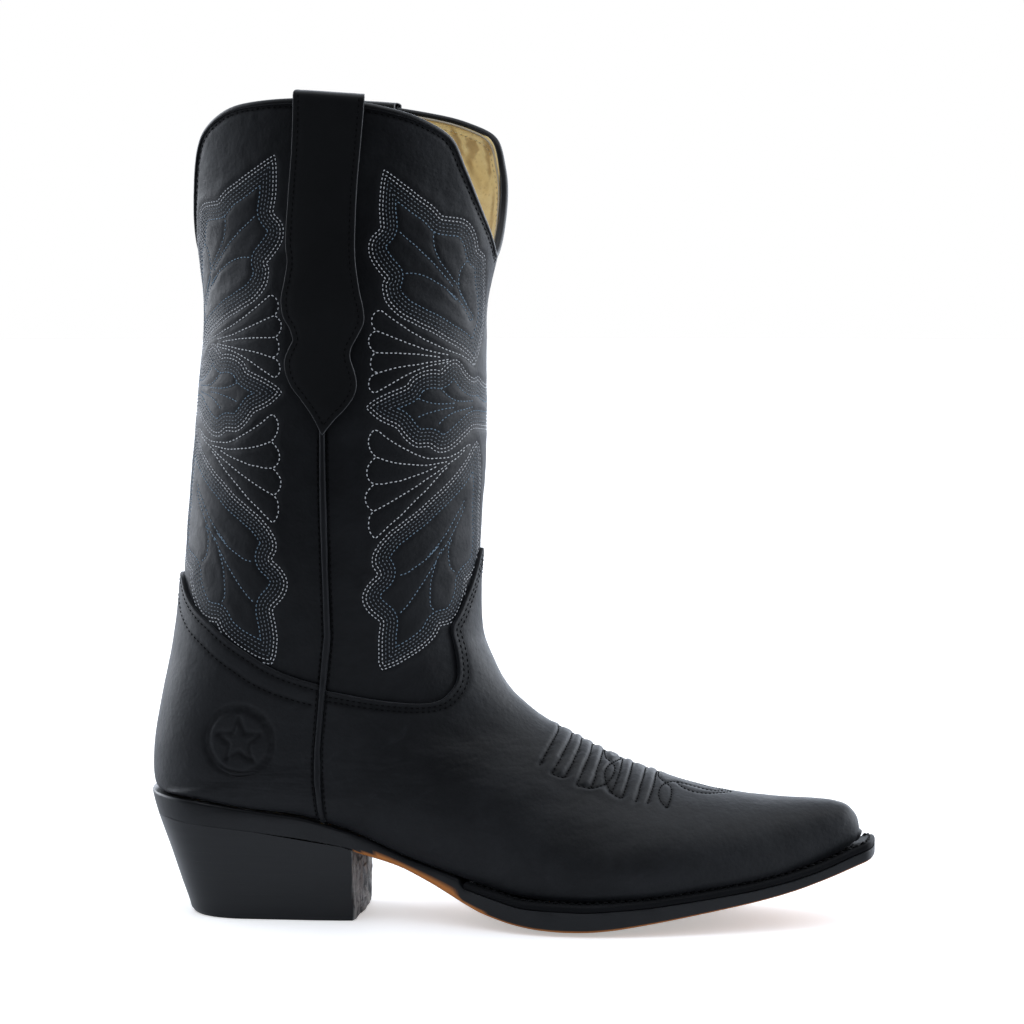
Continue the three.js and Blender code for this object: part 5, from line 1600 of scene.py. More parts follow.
# ------------------------------------------------------------------ counter, with a ringed star
MARK_RINGS = (15.2, 13.4)            # radii of the two rings
STAR_RADII = (10.6, 4.3)             # points and notches of the star


def on_counter(offsets):
    """Places round the mark's middle, true in side view, in the back chart."""
    start = at(-126.6, 255.5)
    middle = np.array([start[0] + 4.8, start[2] - 19.2])
    return back_line(side_view_chart(middle + offsets, OUTER))


def mark_lines():
    angle = np.linspace(0, 2 * np.pi, 90)
    lines = [on_counter(np.stack([np.cos(angle), np.sin(angle)], 1) * radius)
             for radius in MARK_RINGS]
    star = []
    for i in range(11):
        angle = math.pi * i / 5 + math.pi / 2
        star.append(np.array([math.cos(angle), math.sin(angle)]) * STAR_RADII[i % 2])
    return lines + [on_counter(np.array(star))]


COUNTER_ROWS = [edge_row("back", distance) for distance in (2.2, 8.4)]
MARK_GROOVE = Field((-130, 190), (130, 380), mark_lines(), 0.65)
COUNTER_GROOVE = Field((-130, 190), (130, 380), COUNTER_ROWS, 0.8)
HEEL_DROP = float(STATION_DROP[13])      # where the back line reaches the feather line


def counter_relief(girth, drop):
    low = uneven(girth, drop, 71, (0.16, 24), (0.08, 8), (0.035, 3.0))
    low = low - (0.5 * (1 - smoothstep(0, 4.8, np.abs(girth)))
                 * smoothstep(HEEL_DROP - 2, HEEL_DROP + 4, drop))
    band = 0.25 * smoothstep(0, 1, np.clip(COUNTER_GROOVE(girth, drop), 0, 1))
    return low - band - 0.55 * np.clip(MARK_GROOVE(girth, drop), 0, 1.2)


def counter_outline():
    """Below the heel point the sheet is slit along the back line of the chart."""
    top = HEEL_DROP + 1.0
    slit = {}
    for side in (OUTER, INNER):
        drop = np.arange(top, SEAM_END[side] - 0.5, 2.0)
        slit[side] = np.stack([np.full(len(drop), side * 0.12), drop], 1)
    tail = np.vstack([slit[INNER][::-1], [[0, top - 1.2]], slit[OUTER]])
    return foot_outline("back", tail)


ob = slab("leather_counter", counter_outline(), back_map, FOOT_DEPTHS, M["vamp"],
          grid=FOOT_GRID * 0.85, inner_grid=5, edge=FOOT_EDGE_ROUND, relief=counter_relief,
          attr=painted_seam_shade_attr("back", (COUNTER_GROOVE, 0.42), (MARK_GROOVE, 0.3)))
put(ob, "upper_leather", "counter_cover")


# ------------------------------------------------------------------ side piping
def build_piping(side, tag):
    """A single strip down the side seam, stepping out with the layers beside it."""
    start = float(rim_drop(seam_girth(side, 12.0))) + 3.0
    drop = np.arange(start, SEAM_END[side] - 0.8, 1.6)
    depth = 1.5 - 0.55 * smoothstep(140, 150, drop) - 0.65 * smoothstep(252, 256, drop)
    girth = seam_girth(side, drop)
    path = at(girth, drop, depth)
    out = unit(at(girth, drop, depth - 1.0) - path)
    along = unit(np.gradient(path, axis=0))
    across = unit(np.cross(along, out))
    widths = 2.7 + 0.25 * np.sin(drop * 0.11) + 0.12 * noise2(drop, drop * 0, 6, 81)
    sections = np.stack([round_section(w, height=2.6, count=18, power=2.3) for w in widths])
    ob = sweep(f"piping_{tag}", path, across, np.cross(across, along), sections, M["piping"])
    put(ob, "upper_leather", f"side_welt_{tag}_upper", f"side_welt_{tag}_lower")


for side, tag in SIDES:
    build_piping(side, tag)


# ------------------------------------------------------------------ top binding
def binding_section():
    """Rounded over the top, thin skirts down both faces: (outward, down)."""
    half, inner, outer = 1.75, 2.5, 2.4      # half width, lengths of the skirts
    over = [[half * math.cos(a), -(half * 0.95) * math.sin(a) + 1.7]
            for a in np.linspace(0, math.pi, 13)]
    return np.array(over + [
        [-half + 0.03, inner - 0.45], [-half + 0.22, inner - 0.12], [-half + 0.6, inner],
        [-0.9, inner - 0.2], [0, 2.1], [0.9, outer - 0.2],
        [half - 0.6, outer], [half - 0.22, outer - 0.12], [half - 0.03, outer - 0.4]])


def build_binding(chart):
    line = rim_path(chart, lower=0.0, gap=0.2)
    raw = at(line[:, 0], line[:, 1], 3.3)
    path = resample(raw, 1.1)
    s_raw = arc_length(raw)
    s_path = np.linspace(0, s_raw[-1], len(path))
    out = unit(interp_rows(s_path, s_raw, at(line[:, 0], line[:, 1], 2.3) - raw))
    along = unit(np.gradient(path, axis=0))
    turn = 1 if chart == "front" else -1      # the paths run opposite ways round the boot
    down = turn * unit(np.cross(along, out))
    out = turn * unit(np.cross(down, along))
    wobble = 1 + 0.04 * noise2(s_path, s_path * 0, 7, 91)
    section = binding_section()[None] * np.stack([wobble, np.ones_like(wobble)], 1)[:, None]
    ob = sweep(f"binding_{chart}", path, out, down, section, M["binding"])
    put(ob, "binding_leather", f"top_bead_{chart}", body="shaft")
    # cream cut edge of the lining, just under the inner skirt
    inner = interp_rows(s_path, s_raw, at(line[:, 0], line[:, 1], 5.15)) + down * 2.75
    section = round_section(width=0.6, height=1.0, count=8, power=2.2)
    ob = sweep(f"lining_edge_{chart}", inner, out, down, section, M["cream_edge"])
    put(ob, "lining_leather", body="shaft")


build_binding("front")
build_binding("back")

# ------------------------------------------------------------------ pull straps
# the outer leg in side view (x, z), from the top of its back edge round to the front edge
STRAP = points(
    16.4,349.6, 15.7,326.7, 13.9,306.1, 12.6,287.5, 13.2,280.4, 12.1,273.0, 10.6,264.7,
    11.6,257.2, 14.3,252.6, 15.6,248.1, 13.2,243.5, 11.9,239.7, 12.2,234.7, 14.6,228.9,
    19.0,223.1, 23.6,216.5, 27.6,208.4, 32.5,214.6, 37.1,219.4, 40.9,224.9, 42.0,229.9,
    41.2,234.9, 39.4,241.0, 39.7,244.4, 42.7,250.3, 45.0,255.7, 44.7,261.5, 43.2,268.9,
    41.7,280.5, 41.5,289.6, 42.4,310.2, 44.2,330.8, 45.7,349.6)
STRAP_LIFT = 1.6                     # outer face above the surface, before it stands off
FOLD_RADIUS = 4.1
FOLD_LENGTH = math.pi * FOLD_RADIUS
INNER_LEG = 44.0
INNER_SET = 2.5                      # the inner leg's extra depth
# extra drop of the strap's top (mm), and height of the fold as a share of its radius
STRAP_TOP = {OUTER: (0.5, 0.42), INNER: (1.4, 0.30)}


def strap_place(top, rise):
    """Chart to world for a strap: above the drop top it runs over the fold and down inside.
    Depth 0 is the strap's outer face."""
    def place(girth, drop, depth):
        past = top - drop
        stand = 1.25 * smoothstep(80, 22, drop) + 0.35 * smoothstep(120, 90, drop)
        outer = at(girth, np.maximum(drop, top), -STRAP_LIFT - stand + depth)
        angle = np.clip(past / FOLD_RADIUS, 0, math.pi)
        mid_depth = -STRAP_LIFT - 1.25 + FOLD_RADIUS
        mid = at(girth, np.full_like(girth, top), mid_depth)
        out = unit(at(girth, np.full_like(girth, top), mid_depth - 1.0) - mid)
        radius = FOLD_RADIUS - depth + INNER_SET * smoothstep(1.3, math.pi, angle)
        fold = mid + out * (np.cos(angle) * radius)[..., None]
        fold[..., 2] += np.sin(angle) * radius * rise
        inner = at(girth, top + np.clip(past - FOLD_LENGTH, 0, None),
                   mid_depth + (FOLD_RADIUS - depth) + INNER_SET)
        p = np.where((past <= 0)[..., None], outer,
                     np.where((past > FOLD_LENGTH)[..., None], inner, fold))
        # the fold follows the top line down toward the front
        p[..., 2] -= 0.068 * (p[..., 0] - 29.0) * smoothstep(326, 348, p[..., 2])
        return p
    return place


def build_strap(side, tag):
    corners = side_view_chart(STRAP, side)
    extra, rise = STRAP_TOP[side]
    top = float(np.mean(corners[[0, -1], 1])) + extra
    leg = smooth_curve(corners, 0.8, corner=40)
    place = strap_place(top, rise)
    # the end beyond the top: (set in from the leg's edges, length past the top)
    past = FOLD_LENGTH + INNER_LEG
    narrowing = ((0.0, 1.0), (0.6, past * 0.5), (1.2, past - 2), (3.0, past))
    end = ([[leg[-1, 0] + side * set_in, top - up] for set_in, up in narrowing]
           + [[leg[0, 0] - side * set_in, top - up] for set_in, up in narrowing[::-1]])
    outline = np.vstack([leg, smooth_curve(end, 0.8)])
    rows = offset_row(ccw(resample(outline, 0.6, True)), 2.3)
    groove = Field(outline.min(0) - 2, outline.max(0) + 2, rows, 0.8)

    def relief(girth, drop):
        return (uneven(girth, drop, 95, (0.10, 18), (0.05, 5))
                - 0.24 * np.clip(groove(girth, drop), 0, 1.2))

    def raw_edge(q):
        """The wall between the two faces is raw; the rounding above it partly so."""
        n = len(resample(ccw(outline), 0.9, True))
        edge = np.zeros(len(q))
        edge[n * 2:n * 4] = 1.0
        edge[n:n * 2] = 0.35
        return {"edge": edge}

    ob = slab(f"strap_{tag}", outline, place, (0.0, 1.5), M["strap_edge"], grid=1.5,
              ring_step=0.9, inner_grid=4, edge=0.4, relief=relief, attr=raw_edge)
    put(ob, "strap_leather", f"pull_strap_{tag}_facing", body="shaft")

    # backing strip, a little smaller, lying between strap and shaft
    def backing_place(girth, drop, depth):
        stand = 1.2 * smoothstep(80, 22, drop) + 0.35 * smoothstep(120, 90, drop)
        return at(girth, np.maximum(drop, top + 0.5), depth - 0.2 - stand * 0.95)

    ob = slab(f"strap_backing_{tag}", inset(ccw(resample(leg, 0.9, True)), 0.9),
              backing_place, (0.2, 1.25), M["strap"], grid=3, ring_step=1.0, inner_grid=6,
              edge=0.2)
    put(ob, "strap_leather", f"pull_strap_{tag}_backing", body="shaft")
    for row in rows:
        for run in runs(row, row[:, 1] > top - 1):
            if len(run) > 6:
                stitch("strap", run, place, lambda girth, drop: -relief(girth, drop) + 0.02,
                       pitch=2.5, length=1.9, radius=0.26)


for side, tag in SIDES:
    build_strap(side, tag)

# ------------------------------------------------------------------ rows of stitches
SEWING = {
    "white": dict(pitch=1.8, length=1.25, radius=0.22),
    "fan": dict(pitch=2.0, length=1.4, radius=0.235),
    "grey": dict(pitch=1.8, length=1.15, radius=0.195),
    "blue": dict(pitch=1.85, length=1.25, radius=0.21),
}


def on_shaft(chart):
    return lambda girth, drop: SHAFT_DEPTHS[0] - SHAFT_RELIEF[chart](girth, drop)


def on_vamp(girth, drop):
    return -vamp_relief(girth, drop)


def on_counter_face(girth, drop):
    return -counter_relief(girth, drop)


for chart, rows in PANEL_ROWS.items():
    for kind, line in rows:
        stitch((chart, kind), line, CHART_MAP[chart], on_shaft(chart), **SEWING[kind])
for kind in SEWING:
    for chart in PANEL_ROWS:
        build_threads(f"thread_{kind}_{chart}", (chart, kind), M[kind])
build_threads("thread_strap", "strap", M["black"], body="shaft")

# along the top line: black outside, cream on the lining
for chart in ("front", "back"):
    chart_map = CHART_MAP[chart]
    stitch("rim_black", rim_in_chart(chart, RIM_ROW, 2), chart_map, on_shaft(chart),
           pitch=2.6, length=1.9)
    stitch("rim_cream", rim_in_chart(chart, 5.6, 2),
           lambda girth, drop, depth: chart_map(girth, drop, -depth), -4.75,
           pitch=2.6, length=1.8, radius=0.24)
build_threads("thread_black_rim", "rim_black", M["black"], body="shaft")
build_threads("thread_cream_rim", "rim_cream", M["cream"], body="shaft")

# black rows of the foot: vamp and counter edges, toe decoration, beside the piping
for row in VAMP_ROWS:
    stitch("foot", row, front_map, on_vamp, pitch=2.5, length=1.85)
for row in COUNTER_ROWS:
    stitch("foot", row, back_map, on_counter_face, pitch=2.5, length=1.85)
for row in TOE_ROWS:
    stitch("foot", row, front_map, on_vamp, pitch=1.9, length=1.35, radius=0.30)
for side in (OUTER, INNER):
    for aside in (-2.35, 2.35):
        drop = np.arange(6, SEAM_END[side] - 3, 2.0)
        line = np.stack([seam_girth(side, drop) + aside, drop], 1)
        chart = "front" if (aside > 0) == (side < 0) else "back"
        edge_drop = FOOT_EDGE[chart][0, 1]
        for where, depth in (((drop < edge_drop - 1) & (drop > 148), SHAFT_DEPTHS[0]),
                             (drop > edge_drop + 1, FOOT_DEPTHS[0])):
            if where.sum() > 3:
                stitch("foot", line[where], at, depth - 0.02,
                       pitch=2.6, length=2.0, radius=0.25)
build_threads("thread_black_foot", "foot", M["black"])

# ------------------------------------------------------------------ sole
SOLE_BACK = (-55.4, 0.0)
# plan of the sole: x, half width outer, half width inner
SOLE_PLAN = np.array([
    [-53.6,9,9], [-50.5,15.5,15.5], [-45.5,21.5,21.5], [-38,26.6,26.4], [-28,30.2,29.8],
    [-14,32.2,31.4], [0,32.6,31.4], [16,31.6,30], [32,30.2,27.8], [48,29.4,26], [64,30.4,25.6],
    [80,35,28.5], [96,42.5,35.5], [110,48.2,43], [124,51.4,48], [138,52.2,50.2], [152,50.6,50],
    [168,46.6,47.8], [184,41,43.8], [200,34.6,38.6], [216,27.6,32.6], [230,21.6,26.8],
    [242,16.2,21.4], [250,12.6,17.8], [254.6,10.6,15.6]])
# (x, z) of the feather line and of the sole's underside
FEATHER_Z = points(
    -60,54.2, -53.7,53.6, -46.5,53, -30,51, -8,47.8, 15,45, 38,38, 60,27.8, 85,20, 110,14,
    138,13.4, 164,15.2, 187,18, 205,20.4, 220,23.4, 232,26.8, 241,30.3, 245.8,32.6, 256,36.4)
SOLE_UNDER = points(
    -60,44.6, -52,43.4, -5.3,38.2, 15,35.6, 33.5,32.2, 36.5,30.4, 48,26.2, 57,22.6, 65,18.8,
    74,14.4, 83,9.6, 92,5.6, 104,2.4, 116,0.6, 128,0.0, 139,0.2, 150,1.2, 161,2.9, 172,4.7,
    183,6.6, 194,8.5, 205,10.5, 216,12.8, 226,15.5, 238,19.6, 246,22.8, 256,26.9)
# (z, x) of the heel's back
HEEL_BACK = points(1.4,-38.0, 9.7,-41.2, 17.8,-44.0, 26.7,-46.8, 34.9,-49.8, 44,-53.1,
                   54.0,-55.7)


def softened(table):
    """Height over x from a table, blurred by 3 mm."""
    x = np.linspace(-60, 256, 700)
    z = blur(np.interp(x, table[:, 0], table[:, 1]), 3.0 / (x[1] - x[0]))
    return lambda q: np.interp(q, x, z)


feather_z = softened(FEATHER_Z)
under_z = softened(SOLE_UNDER)


def sole_outline():
    """Counter-clockwise plan; the toe end is nearly straight across with small corners."""
    outer = SOLE_PLAN[:, [0, 1]] * [1, -1]
    inner = SOLE_PLAN[:, [0, 2]]
    line = smooth_curve(np.vstack([inner[::-1], [SOLE_BACK], outer]), 1.0)
    y_inner, y_outer = line[0, 1], line[-1, 1]
    cap = points(254.9, y_outer + 1.4, 255.5, y_outer + 3.4, 256.3, 0.5 * (y_outer + y_inner),
                 255.5, y_inner - 3.4, 254.9, y_inner - 1.4)
    return resample(np.vstack([line[1:-1], smooth_curve(cap, 1.0)]), 1.0, True)


SOLE_OUTLINE = sole_outline()
SOLE_RIM = resample(SOLE_OUTLINE, 0.5, True)
SOLE_TREE = tree_of(SOLE_RIM)


def edge_dist(x, y):
    return nearest(SOLE_TREE, np.stack([x, y], 1))[1]


def plate(name, outline, top, bottom, mat, profile, *, grid, ring_step, relief=None, attr=None):
    """Closed plate over a counter-clockwise plan outline. The profile lists edge rings as
    (inset, share of the way down)."""
    base = resample(outline, ring_step, True)
    n = len(base)
    rings = [inset(base, distance) for distance, _ in profile]
    fills = [fill_points(ring, grid) for ring in (rings[0], rings[-1])]
    plan = np.vstack(rings + fills)
    shares = [share for _, share in profile]
    share = np.repeat(shares + [shares[0], shares[-1]],
                      [n] * len(rings) + [len(fill) for fill in fills])
    x, y = plan[:, 0], plan[:, 1]
    z_top = top(x, y)
    verts = np.column_stack([plan, z_top + (bottom(x) - z_top) * share])
    if relief is not None:
        verts = relief(verts, share)

    def facing(tris, up):
        a, b, c = (verts[tris[:, k]] for k in range(3))
        return tris if (np.cross(b - a, c - a)[:, 2].sum() > 0) == up else tris[:, ::-1]
    start = n * len(rings)
    f_top = ring_tris(triangulate(rings[0], fills[0]), n, 0, start)
    f_under = ring_tris(triangulate(rings[-1], fills[1]), n, start - n, start + len(fills[0]))
    faces = (facing(f_top, True).tolist() + band_faces(n, len(rings), "iIJj").tolist()
             + facing(f_under, False).tolist())
    return make_object(name, verts, faces, mat, attr=attr(plan, share) if attr else None,
                       crisp=55)


HEEL_Z = np.arange(-12.0, 62.0, 0.5)
HEEL_X = (blur(np.interp(HEEL_Z, HEEL_BACK[:, 0], HEEL_BACK[:, 1]), 7.0)
          + 1.3 * (1 - smoothstep(-0.2, 1.6, HEEL_Z)))
HEEL_COUNT = 240                     # points round the heel
HEEL_SIDE_TOP = 44.0                 # above this the sides no longer widen
# front corners of the heel: x, how far inside the half width
HEEL_CORNER = points(20,0.25, 30,0.9, 35.6,1.5, 36.5,2.4)


def heel_ring(z):
    """Counter-clockwise outline of the heel at a height, starting at the back middle."""
    back = float(np.interp(z, HEEL_Z, HEEL_X))
    grow = min(z, HEEL_SIDE_TOP) / 34
    outer, inner = 27.3 + 4.2 * grow, 27.0 + 3.6 * grow
    depth = 27 + 2 * grow
    angle = np.linspace(math.pi / 2, -math.pi / 2, 90)
    sin = np.sin(angle)
    round_back = np.stack([
        back + depth * (1 - np.cos(angle) ** 0.9),
        np.sign(sin) * np.where(angle >= 0, inner, outer) * np.abs(sin) ** 0.92], 1)
    corner_x, corner_in = HEEL_CORNER.T
    ring = np.vstack([
        round_back, np.stack([corner_x, corner_in - outer], 1),
        [[37.0, -(outer * 0.6)], [37.5, 0], [37.0, inner * 0.6]],
        np.stack([corner_x, inner - corner_in], 1)[::-1]])
    ring = resample(ring, closed=True, count=HEEL_COUNT)
    return np.roll(ring, -int(np.argmin(ring[:, 0] + 0.001 * np.abs(ring[:, 1]))), 0)


# how far the sole's rim has to move at each height to lie on the heel's side
TAPER_Z = np.arange(28.0, 56.0, 1.0)


def heel_taper():
    moves = np.zeros((len(TAPER_Z), len(SOLE_RIM), 2))
    near_heel = SOLE_RIM[:, 0] < 46
    rim = SOLE_RIM[near_heel]
    for i, z in enumerate(TAPER_Z):
        ring = resample(heel_ring(float(z)), 0.4, True)
        ring = ring[ring[:, 0] < 36.2]
        k = np.argmin(np.linalg.norm(rim[:, None] - ring[None], axis=2), axis=1)
        moves[i, near_heel] = ring[k] - rim
    return moves


TAPER_MOVE = heel_taper()


def sole_top(x, y):
    """Just under the feather line, stepping down where the welt lies on top."""
    return feather_z(x) - 0.25 - 3.15 * smoothstep(82.5, 84.5, x)


def sole_relief(verts, share):
    foot, distance = nearest(SOLE_TREE, verts[:, :2])
    verts = verts.copy()
    x = verts[:, 0].copy()
    verts[:, 2] += 1.5 * (1 - smoothstep(0, 13, distance)) * smoothstep(36, 60, x) * share
    # draw the rounded rings back to the rim: the lower ones at the heel, the upper under the welt
    rim = SOLE_RIM[foot]
    at_rim = distance < 2.4
    pull = (smoothstep(40, 31, x) * (at_rim & (share > 0.5))
            + smoothstep(86, 90, x) * (at_rim & (share < 0.5)))[:, None]
    verts[:, :2] = rim + (verts[:, :2] - rim) * (1 - 0.93 * pull)
    # in the heel seat the edge carries on down the heel's own taper
    row = np.clip((verts[:, 2] - TAPER_Z[0]) / (TAPER_Z[1] - TAPER_Z[0]),
                  0, len(TAPER_Z) - 1.001)
    i = row.astype(int)
    between = (row - i)[:, None]
    move = TAPER_MOVE[i, foot] * (1 - between) + TAPER_MOVE[i + 1, foot] * between
    seat = (1 - smoothstep(2.0, 9.0, distance)) * smoothstep(42, 30, verts[:, 0])
    verts[:, :2] += move * seat[:, None]
    wave = (0.16 * noise2(verts[:, 0] + verts[:, 2], verts[:, 1], 9, 101)
            * (1 - smoothstep(0, 4, distance)))
    verts[:, 1] += np.sign(verts[:, 1]) * wave
    return verts


def sole_attr(plan, share):
    """Black down to just above the bottom arris; the underside stays tan."""
    x = plan[:, 0]
    limit = 0.925 - 0.24 * smoothstep(37, 50, x) * smoothstep(104, 72, x)
    return {"edge": np.where(x < 37.5, 1.0, np.clip((limit - share) / 0.03, 0, 1))}


SOLE_PROFILE = [(0.5, 0.0), (0.12, 0.05), (0.0, 0.14), (0.0, 0.45), (0.05, 0.72), (0.12, 0.86),
                (0.3, 0.915), (0.55, 0.955), (1.0, 0.985), (2.0, 1.0)]
ob = plate("outsole_leather", SOLE_OUTLINE, sole_top, under_z, M["sole"], SOLE_PROFILE,
           grid=3.0, ring_step=1.2, relief=sole_relief, attr=sole_attr)
put(ob, "sole_leather", "outsole", body="foot")

# ------------------------------------------------------------------ welt round the forefoot
WELT_START = 84.4
WELT_WIDTH = 14.5
WELT_PROFILE = [(0.55, 0.0), (0.16, 0.10), (0.0, 0.30), (0.0, 0.70), (0.12, 0.92), (0.35, 1.0)]
STITCH_INSET = 2.5


def welt_outline(rim):
    fore = rim[:, 0] >= WELT_START
    inner = inset(rim, WELT_WIDTH)[fore]
    kept = [inner[0]]
    for q in inner[1:]:
        if np.linalg.norm(q - kept[-1]) > 0.7 and SOLE_TREE.find((*q, 0))[2] > 13.6:
            kept.append(q)
    return np.vstack([rim[fore], np.array(kept)[::-1]])


def welt_top(x, y):
    """Raised along the stitches, falling off at the rim."""
    distance = edge_dist(x, y)
    return (feather_z(x) - 0.3 + 0.35 * np.exp(-((distance - 2.6) / 1.3) ** 2)
            - 0.5 * (1 - smoothstep(0, 1.2, distance)))


rim = resample(SOLE_OUTLINE, 1.0, True)
rim = np.roll(rim, -np.argmin(np.abs(rim[:, 0] + 55)), 0)      # starts at the back
ob = plate("welt_strip", welt_outline(rim), welt_top, lambda x: feather_z(x) - 3.2, M["welt"],
           WELT_PROFILE, grid=1.6, ring_step=1.0)
put(ob, "welt_leather", "welt", body="foot")
stitch("welt", inset(rim, STITCH_INSET)[rim[:, 0] > WELT_START + 2],
       lambda x, y, depth: np.stack([x, y, feather_z(x) - depth], -1), 0.0,
       pitch=3.5, length=3.0, radius=0.62, lift=0.42)
build_threads("thread_welt", "welt", M["black"], body="foot")

# ------------------------------------------------------------------ heel
LIFT_TOPS = [11.0, 15.6, 20.0, 24.4, 28.6]
LIFT_JOINT = 0.004
WEDGE_BOTTOM = LIFT_TOPS[-1] + LIFT_JOINT


def heel_cap(start):
    """Strips across the heel, so that a sloping top stays true."""
    out = []
    i, j = 0, HEEL_COUNT - 1
    while j - i > 1:
        out.append([start + i, start + i + 1, start + j])
        if j - i > 2:
            out.append([start + i + 1, start + j - 1, start + j])
        i += 1
        j -= 1
    return out


def heel_block(name, rings):
    """Closed block with a rough front face, from rings (outline, inset, height)."""
    verts = np.vstack([
        np.column_stack([inset(outline, distance), np.broadcast_to(z, HEEL_COUNT)])
        for outline, distance, z in rings])
    breast = smoothstep(36.0, 36.45, np.concatenate([ring[0][:, 0] for ring in rings]))
    rough = (1.1 * noise2(verts[:, 1], verts[:, 2] * 0.8, 5.5, 111)
             + 0.6 * noise2(verts[:, 1], verts[:, 2], 2.6, 112))
    verts[:, 0] += smoothstep(35.9, 36.4, verts[:, 0]) * (rough * 0.55 - 0.4)
    faces = (band_faces(HEEL_COUNT, len(rings), "ijJI").tolist()
             + heel_cap((len(rings) - 1) * HEEL_COUNT)
             + [face[::-1] for face in heel_cap(0)])
    return make_object(name, verts, faces, M["heel"], attr={"breast": breast}, crisp=40)


def heel_lift(name, bottom, top, layers=3, arris=0.0):
    """One lift, with a fine arris at its bottom edge if given."""
    rings = [(bottom, arris), (bottom + arris, 0.0)] if arris else [(bottom, 0.0)]
    rings += [(bottom + (top - bottom) * k / layers, 0.0) for k in range(1, layers)]
    rings.append((top, 0.0))
    return heel_block(name, [(heel_ring(z), distance, z) for z, distance in rings])


def heel_top(x):
    seat = np.interp(x, [-60, -5.3, 36.5], [44.2, 38.2, 31.6])
    return np.minimum(under_z(x), seat) - 0.05


def wedge_ring(share):
    """Ring a share of the way up the wedge, its heights differing round the heel."""
    def height(ring):
        return WEDGE_BOTTOM + (heel_top(ring[:, 0]) - WEDGE_BOTTOM) * share
    step = 0.5
    ring = heel_ring(31.0)
    for _ in range(3):      # each pass fits the taper closer to the local height
        z = height(ring)
        near = np.round(z / step) * step
        fitted = np.empty_like(ring)
        for level in np.unique(near):
            low = heel_ring(float(min(level, HEEL_SIDE_TOP)))
            high = heel_ring(float(min(level + step, HEEL_SIDE_TOP)))
            here = near == level
            part = ((z[here] - level) / step)[:, None]
            fitted[here] = low[here] * (1 - part) + high[here] * part
        ring = fitted
    return ring, 0.0, height(ring)


ob = heel_lift("heel_top_lift_rubber", 0.0, LIFT_TOPS[0], layers=6, arris=0.35)
put(ob, "top_lift_rubber", "heel_top_lift", body="foot")
for k in range(4):
    ob = heel_lift(f"heel_stack_{k + 1}", LIFT_TOPS[k] + LIFT_JOINT, LIFT_TOPS[k + 1])
    put(ob, "heel_stack", f"heel_lift_{4 - k}", body="foot")
WEDGE_SHARES = (0, 0.02, 0.12, 0.25, 0.4, 0.55, 0.7, 0.85, 0.97, 1.0)
put(heel_block("heel_wedge_leather", [wedge_ring(share) for share in WEDGE_SHARES]),
    "heel_stack", "heel_wedge", body="foot")

# ------------------------------------------------------------------ pieces kept from the frame
KEPT = {
    "vamp_lining": "lining_inner", "heel_lining": "lining_inner",
    "heel_counter_stiffener": "stiff", "toe_box": "stiff", "insole": "insole",
    "heel_seat_pad": "pad", "bottom_filler_cork": "cork", "shank_steel": "steel",
}
KEPT_GROUPS = {"heel_nail": "brass", "top_lift_brad": "brass", "waist_peg": "peg"}


def paint(node, key):
    for slot in node.material_slots:
        slot.material = M[key]


for name, key in KEPT.items():
    paint(NODES[name], key)
for name, node in NODES.items():
    for prefix, key in KEPT_GROUPS.items():
        if name.startswith(prefix):
            paint(node, key)


# ------------------------------------------------------------------ floor
def mat_paper():
    """Pale to the camera, darker in what it throws back on to the boot."""
    k = Shader("paper_sweep")
    pale = k.ramp(k.noise(scale=3, detail=3, rough=0.5),
                  (0.3, (0.93, 0.93, 0.935)), (0.7, (0.955, 0.955, 0.96)))
    seen = k.new("ShaderNodeLightPath").outputs["Is Camera Ray"]
    split = k.new("ShaderNodeSeparateXYZ")
    k.put(split.inputs[0], k.co)
    behind = k.remap(split.outputs[1], (-0.60, -0.12), (0.0, 1.0))
    bounce = k.mix(behind, (0.03, 0.03, 0.032), (0.50, 0.51, 0.53))
    return k.set(Base_Color=k.mix(seen, bounce, pale), Roughness=0.6,
                 Emission_Color=(1.0, 0.985, 0.965),
                 Emission_Strength=k.math("MULTIPLY", seen, 0.42), Specular_IOR_Level=0.2)


def build_floor():
    """Flat disc just below the heel."""
    count, radius, center_x, z = 64, 7000.0, 60.0, -0.15
    verts = [[center_x, 0.0, z]]
    for i in range(count):
        angle = 2 * math.pi * i / count
        verts.append([center_x + radius * math.cos(angle), radius * math.sin(angle), z])
    faces = [[0, 1 + i, 1 + (i + 1) % count] for i in range(count)]
    make_object("paper_floor", np.array(verts), faces, mat_paper(), smooth=False)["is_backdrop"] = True


build_floor()


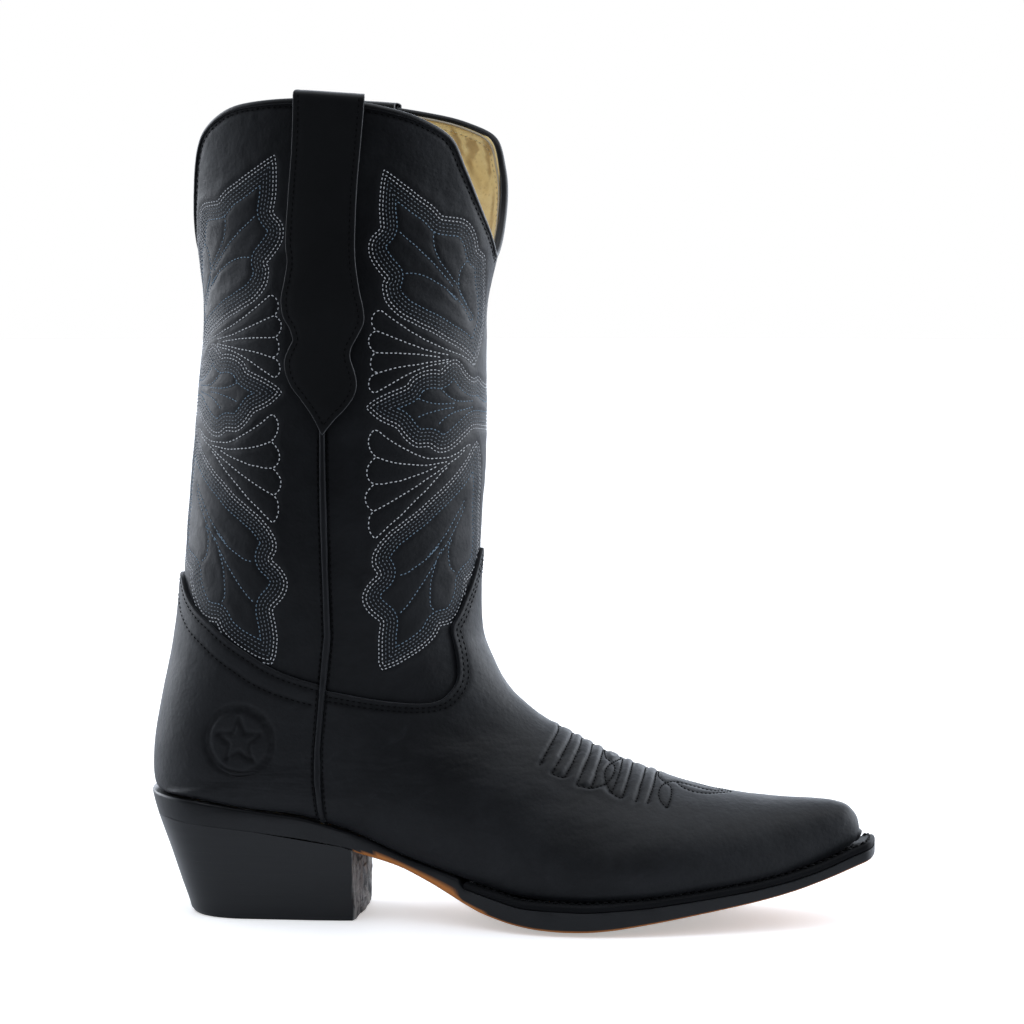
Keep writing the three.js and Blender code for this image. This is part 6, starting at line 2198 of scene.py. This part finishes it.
# ------------------------------------------------------------------ world
def build_world():
    world = bpy.data.worlds.new("studio")
    bpy.context.scene.world = world
    k = Tree(world, "Generated")

    def ramp(value, source, target):
        return k.remap(value, source, target, "SMOOTHSTEP")

    def add(a, b):
        return k.math("ADD", a, b)

    def times(a, b):
        return k.math("MULTIPLY", a, b)

    split = k.new("ShaderNodeSeparateXYZ")
    k.put(split.inputs[0], k.co)
    x, y, z = split.outputs
    path = k.new("ShaderNodeLightPath").outputs
    glossy_ray, camera_ray = path["Is Glossy Ray"], path["Is Camera Ray"]
    # the room as the leather mirrors it: white behind and beside, dark in front, soft overhead
    behind = times(ramp(y, (0.05, 0.95), (0.0, 3.3)), ramp(z, (0.15, 0.75), (1.0, 0.25)))
    beside = times(ramp(k.math("ABSOLUTE", x, 0.0), (0.48, 1.0), (0.0, 2.7)),
                   ramp(y, (-0.55, 0.1), (0.0, 1.0)))
    glossy = add(add(behind, beside), ramp(z, (0.55, 1.0), (0.0, 0.45)))
    # the room as it lights matt surfaces: mostly from above
    diffuse = add(ramp(z, (-0.1, 0.9), (0.25, 1.0)), ramp(y, (-0.2, 1.0), (0.0, 0.25)))
    lit = add(times(glossy, glossy_ray), times(diffuse, k.math("SUBTRACT", 1.0, glossy_ray)))
    strength = add(times(lit, k.math("SUBTRACT", 1.0, camera_ray)), times(1.0, camera_ray))
    background = k.find("BACKGROUND")
    k.put(background.inputs["Color"], k.mix(camera_ray, (0.90, 0.97, 1.08), (1.0, 1.0, 1.0)))
    k.put(background.inputs["Strength"], strength)


build_world()

# ------------------------------------------------------------------ lights and camera, metres
LIGHT_TARGET = Vector((0.08, 0.0, 0.16))
LIGHTS = {
    "top_soft": dict(place=(0.25, -0.15, 1.9), width=1.4, height=1.2, watts=6),
    "back_left": dict(place=(-1.35, 0.75, 0.65), width=0.8, height=1.4, watts=7),
    "back_right": dict(place=(1.45, 0.65, 0.75), width=0.8, height=1.4, watts=7),
}
CAMERA_TARGET = Vector((0.101, 0, 0.1733))
CAMERA_DISTANCE = 1.65
CAMERA_HEIGHT = 0.305
CAMERA_YAW = math.radians(7.0)
CAMERA_LENS = 135.84965625           # mm, on a sensor 36 mm wide


def add_light(name, place, width, height, watts):
    data = bpy.data.lights.new(name, "AREA")
    data.shape = "RECTANGLE"
    data.size, data.size_y = width, height
    data.energy = watts
    ob = bpy.data.objects.new(name, data)
    bpy.context.scene.collection.objects.link(ob)
    ob.location = place
    ob.rotation_euler = (LIGHT_TARGET - Vector(place)).to_track_quat("-Z", "Y").to_euler()


def add_camera():
    data = bpy.data.cameras.new("camera")
    data.sensor_width = 36
    data.sensor_fit = "HORIZONTAL"
    data.lens = CAMERA_LENS
    data.clip_start, data.clip_end = 0.05, 50
    ob = bpy.data.objects.new("camera", data)
    bpy.context.scene.collection.objects.link(ob)
    tilt = math.asin((CAMERA_HEIGHT * 1000 - 173.3) / (CAMERA_DISTANCE * 1000))
    look = Vector((-math.sin(CAMERA_YAW) * math.cos(tilt),
                   math.cos(CAMERA_YAW) * math.cos(tilt), -math.sin(tilt)))
    ob.location = CAMERA_TARGET - look * CAMERA_DISTANCE
    ob.rotation_euler = look.to_track_quat("-Z", "Y").to_euler()
    bpy.context.scene.camera = ob


for name, settings in LIGHTS.items():
    add_light(name, **settings)
add_camera()
bpy.context.scene.view_settings.view_transform = "Standard"


# ------------------------------------------------------------------ sizes and finish
def as_lists(b):
    if isinstance(b, dict):
        return {k: as_lists(v) for k, v in b.items()}
    if isinstance(b, (list, tuple, Vector)):
        return [as_lists(v) if isinstance(v, (list, tuple, Vector)) else float(v) for v in b]
    return b


{"cad_box": as_lists(CAD_BOX), "visual_box": as_lists(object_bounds())}
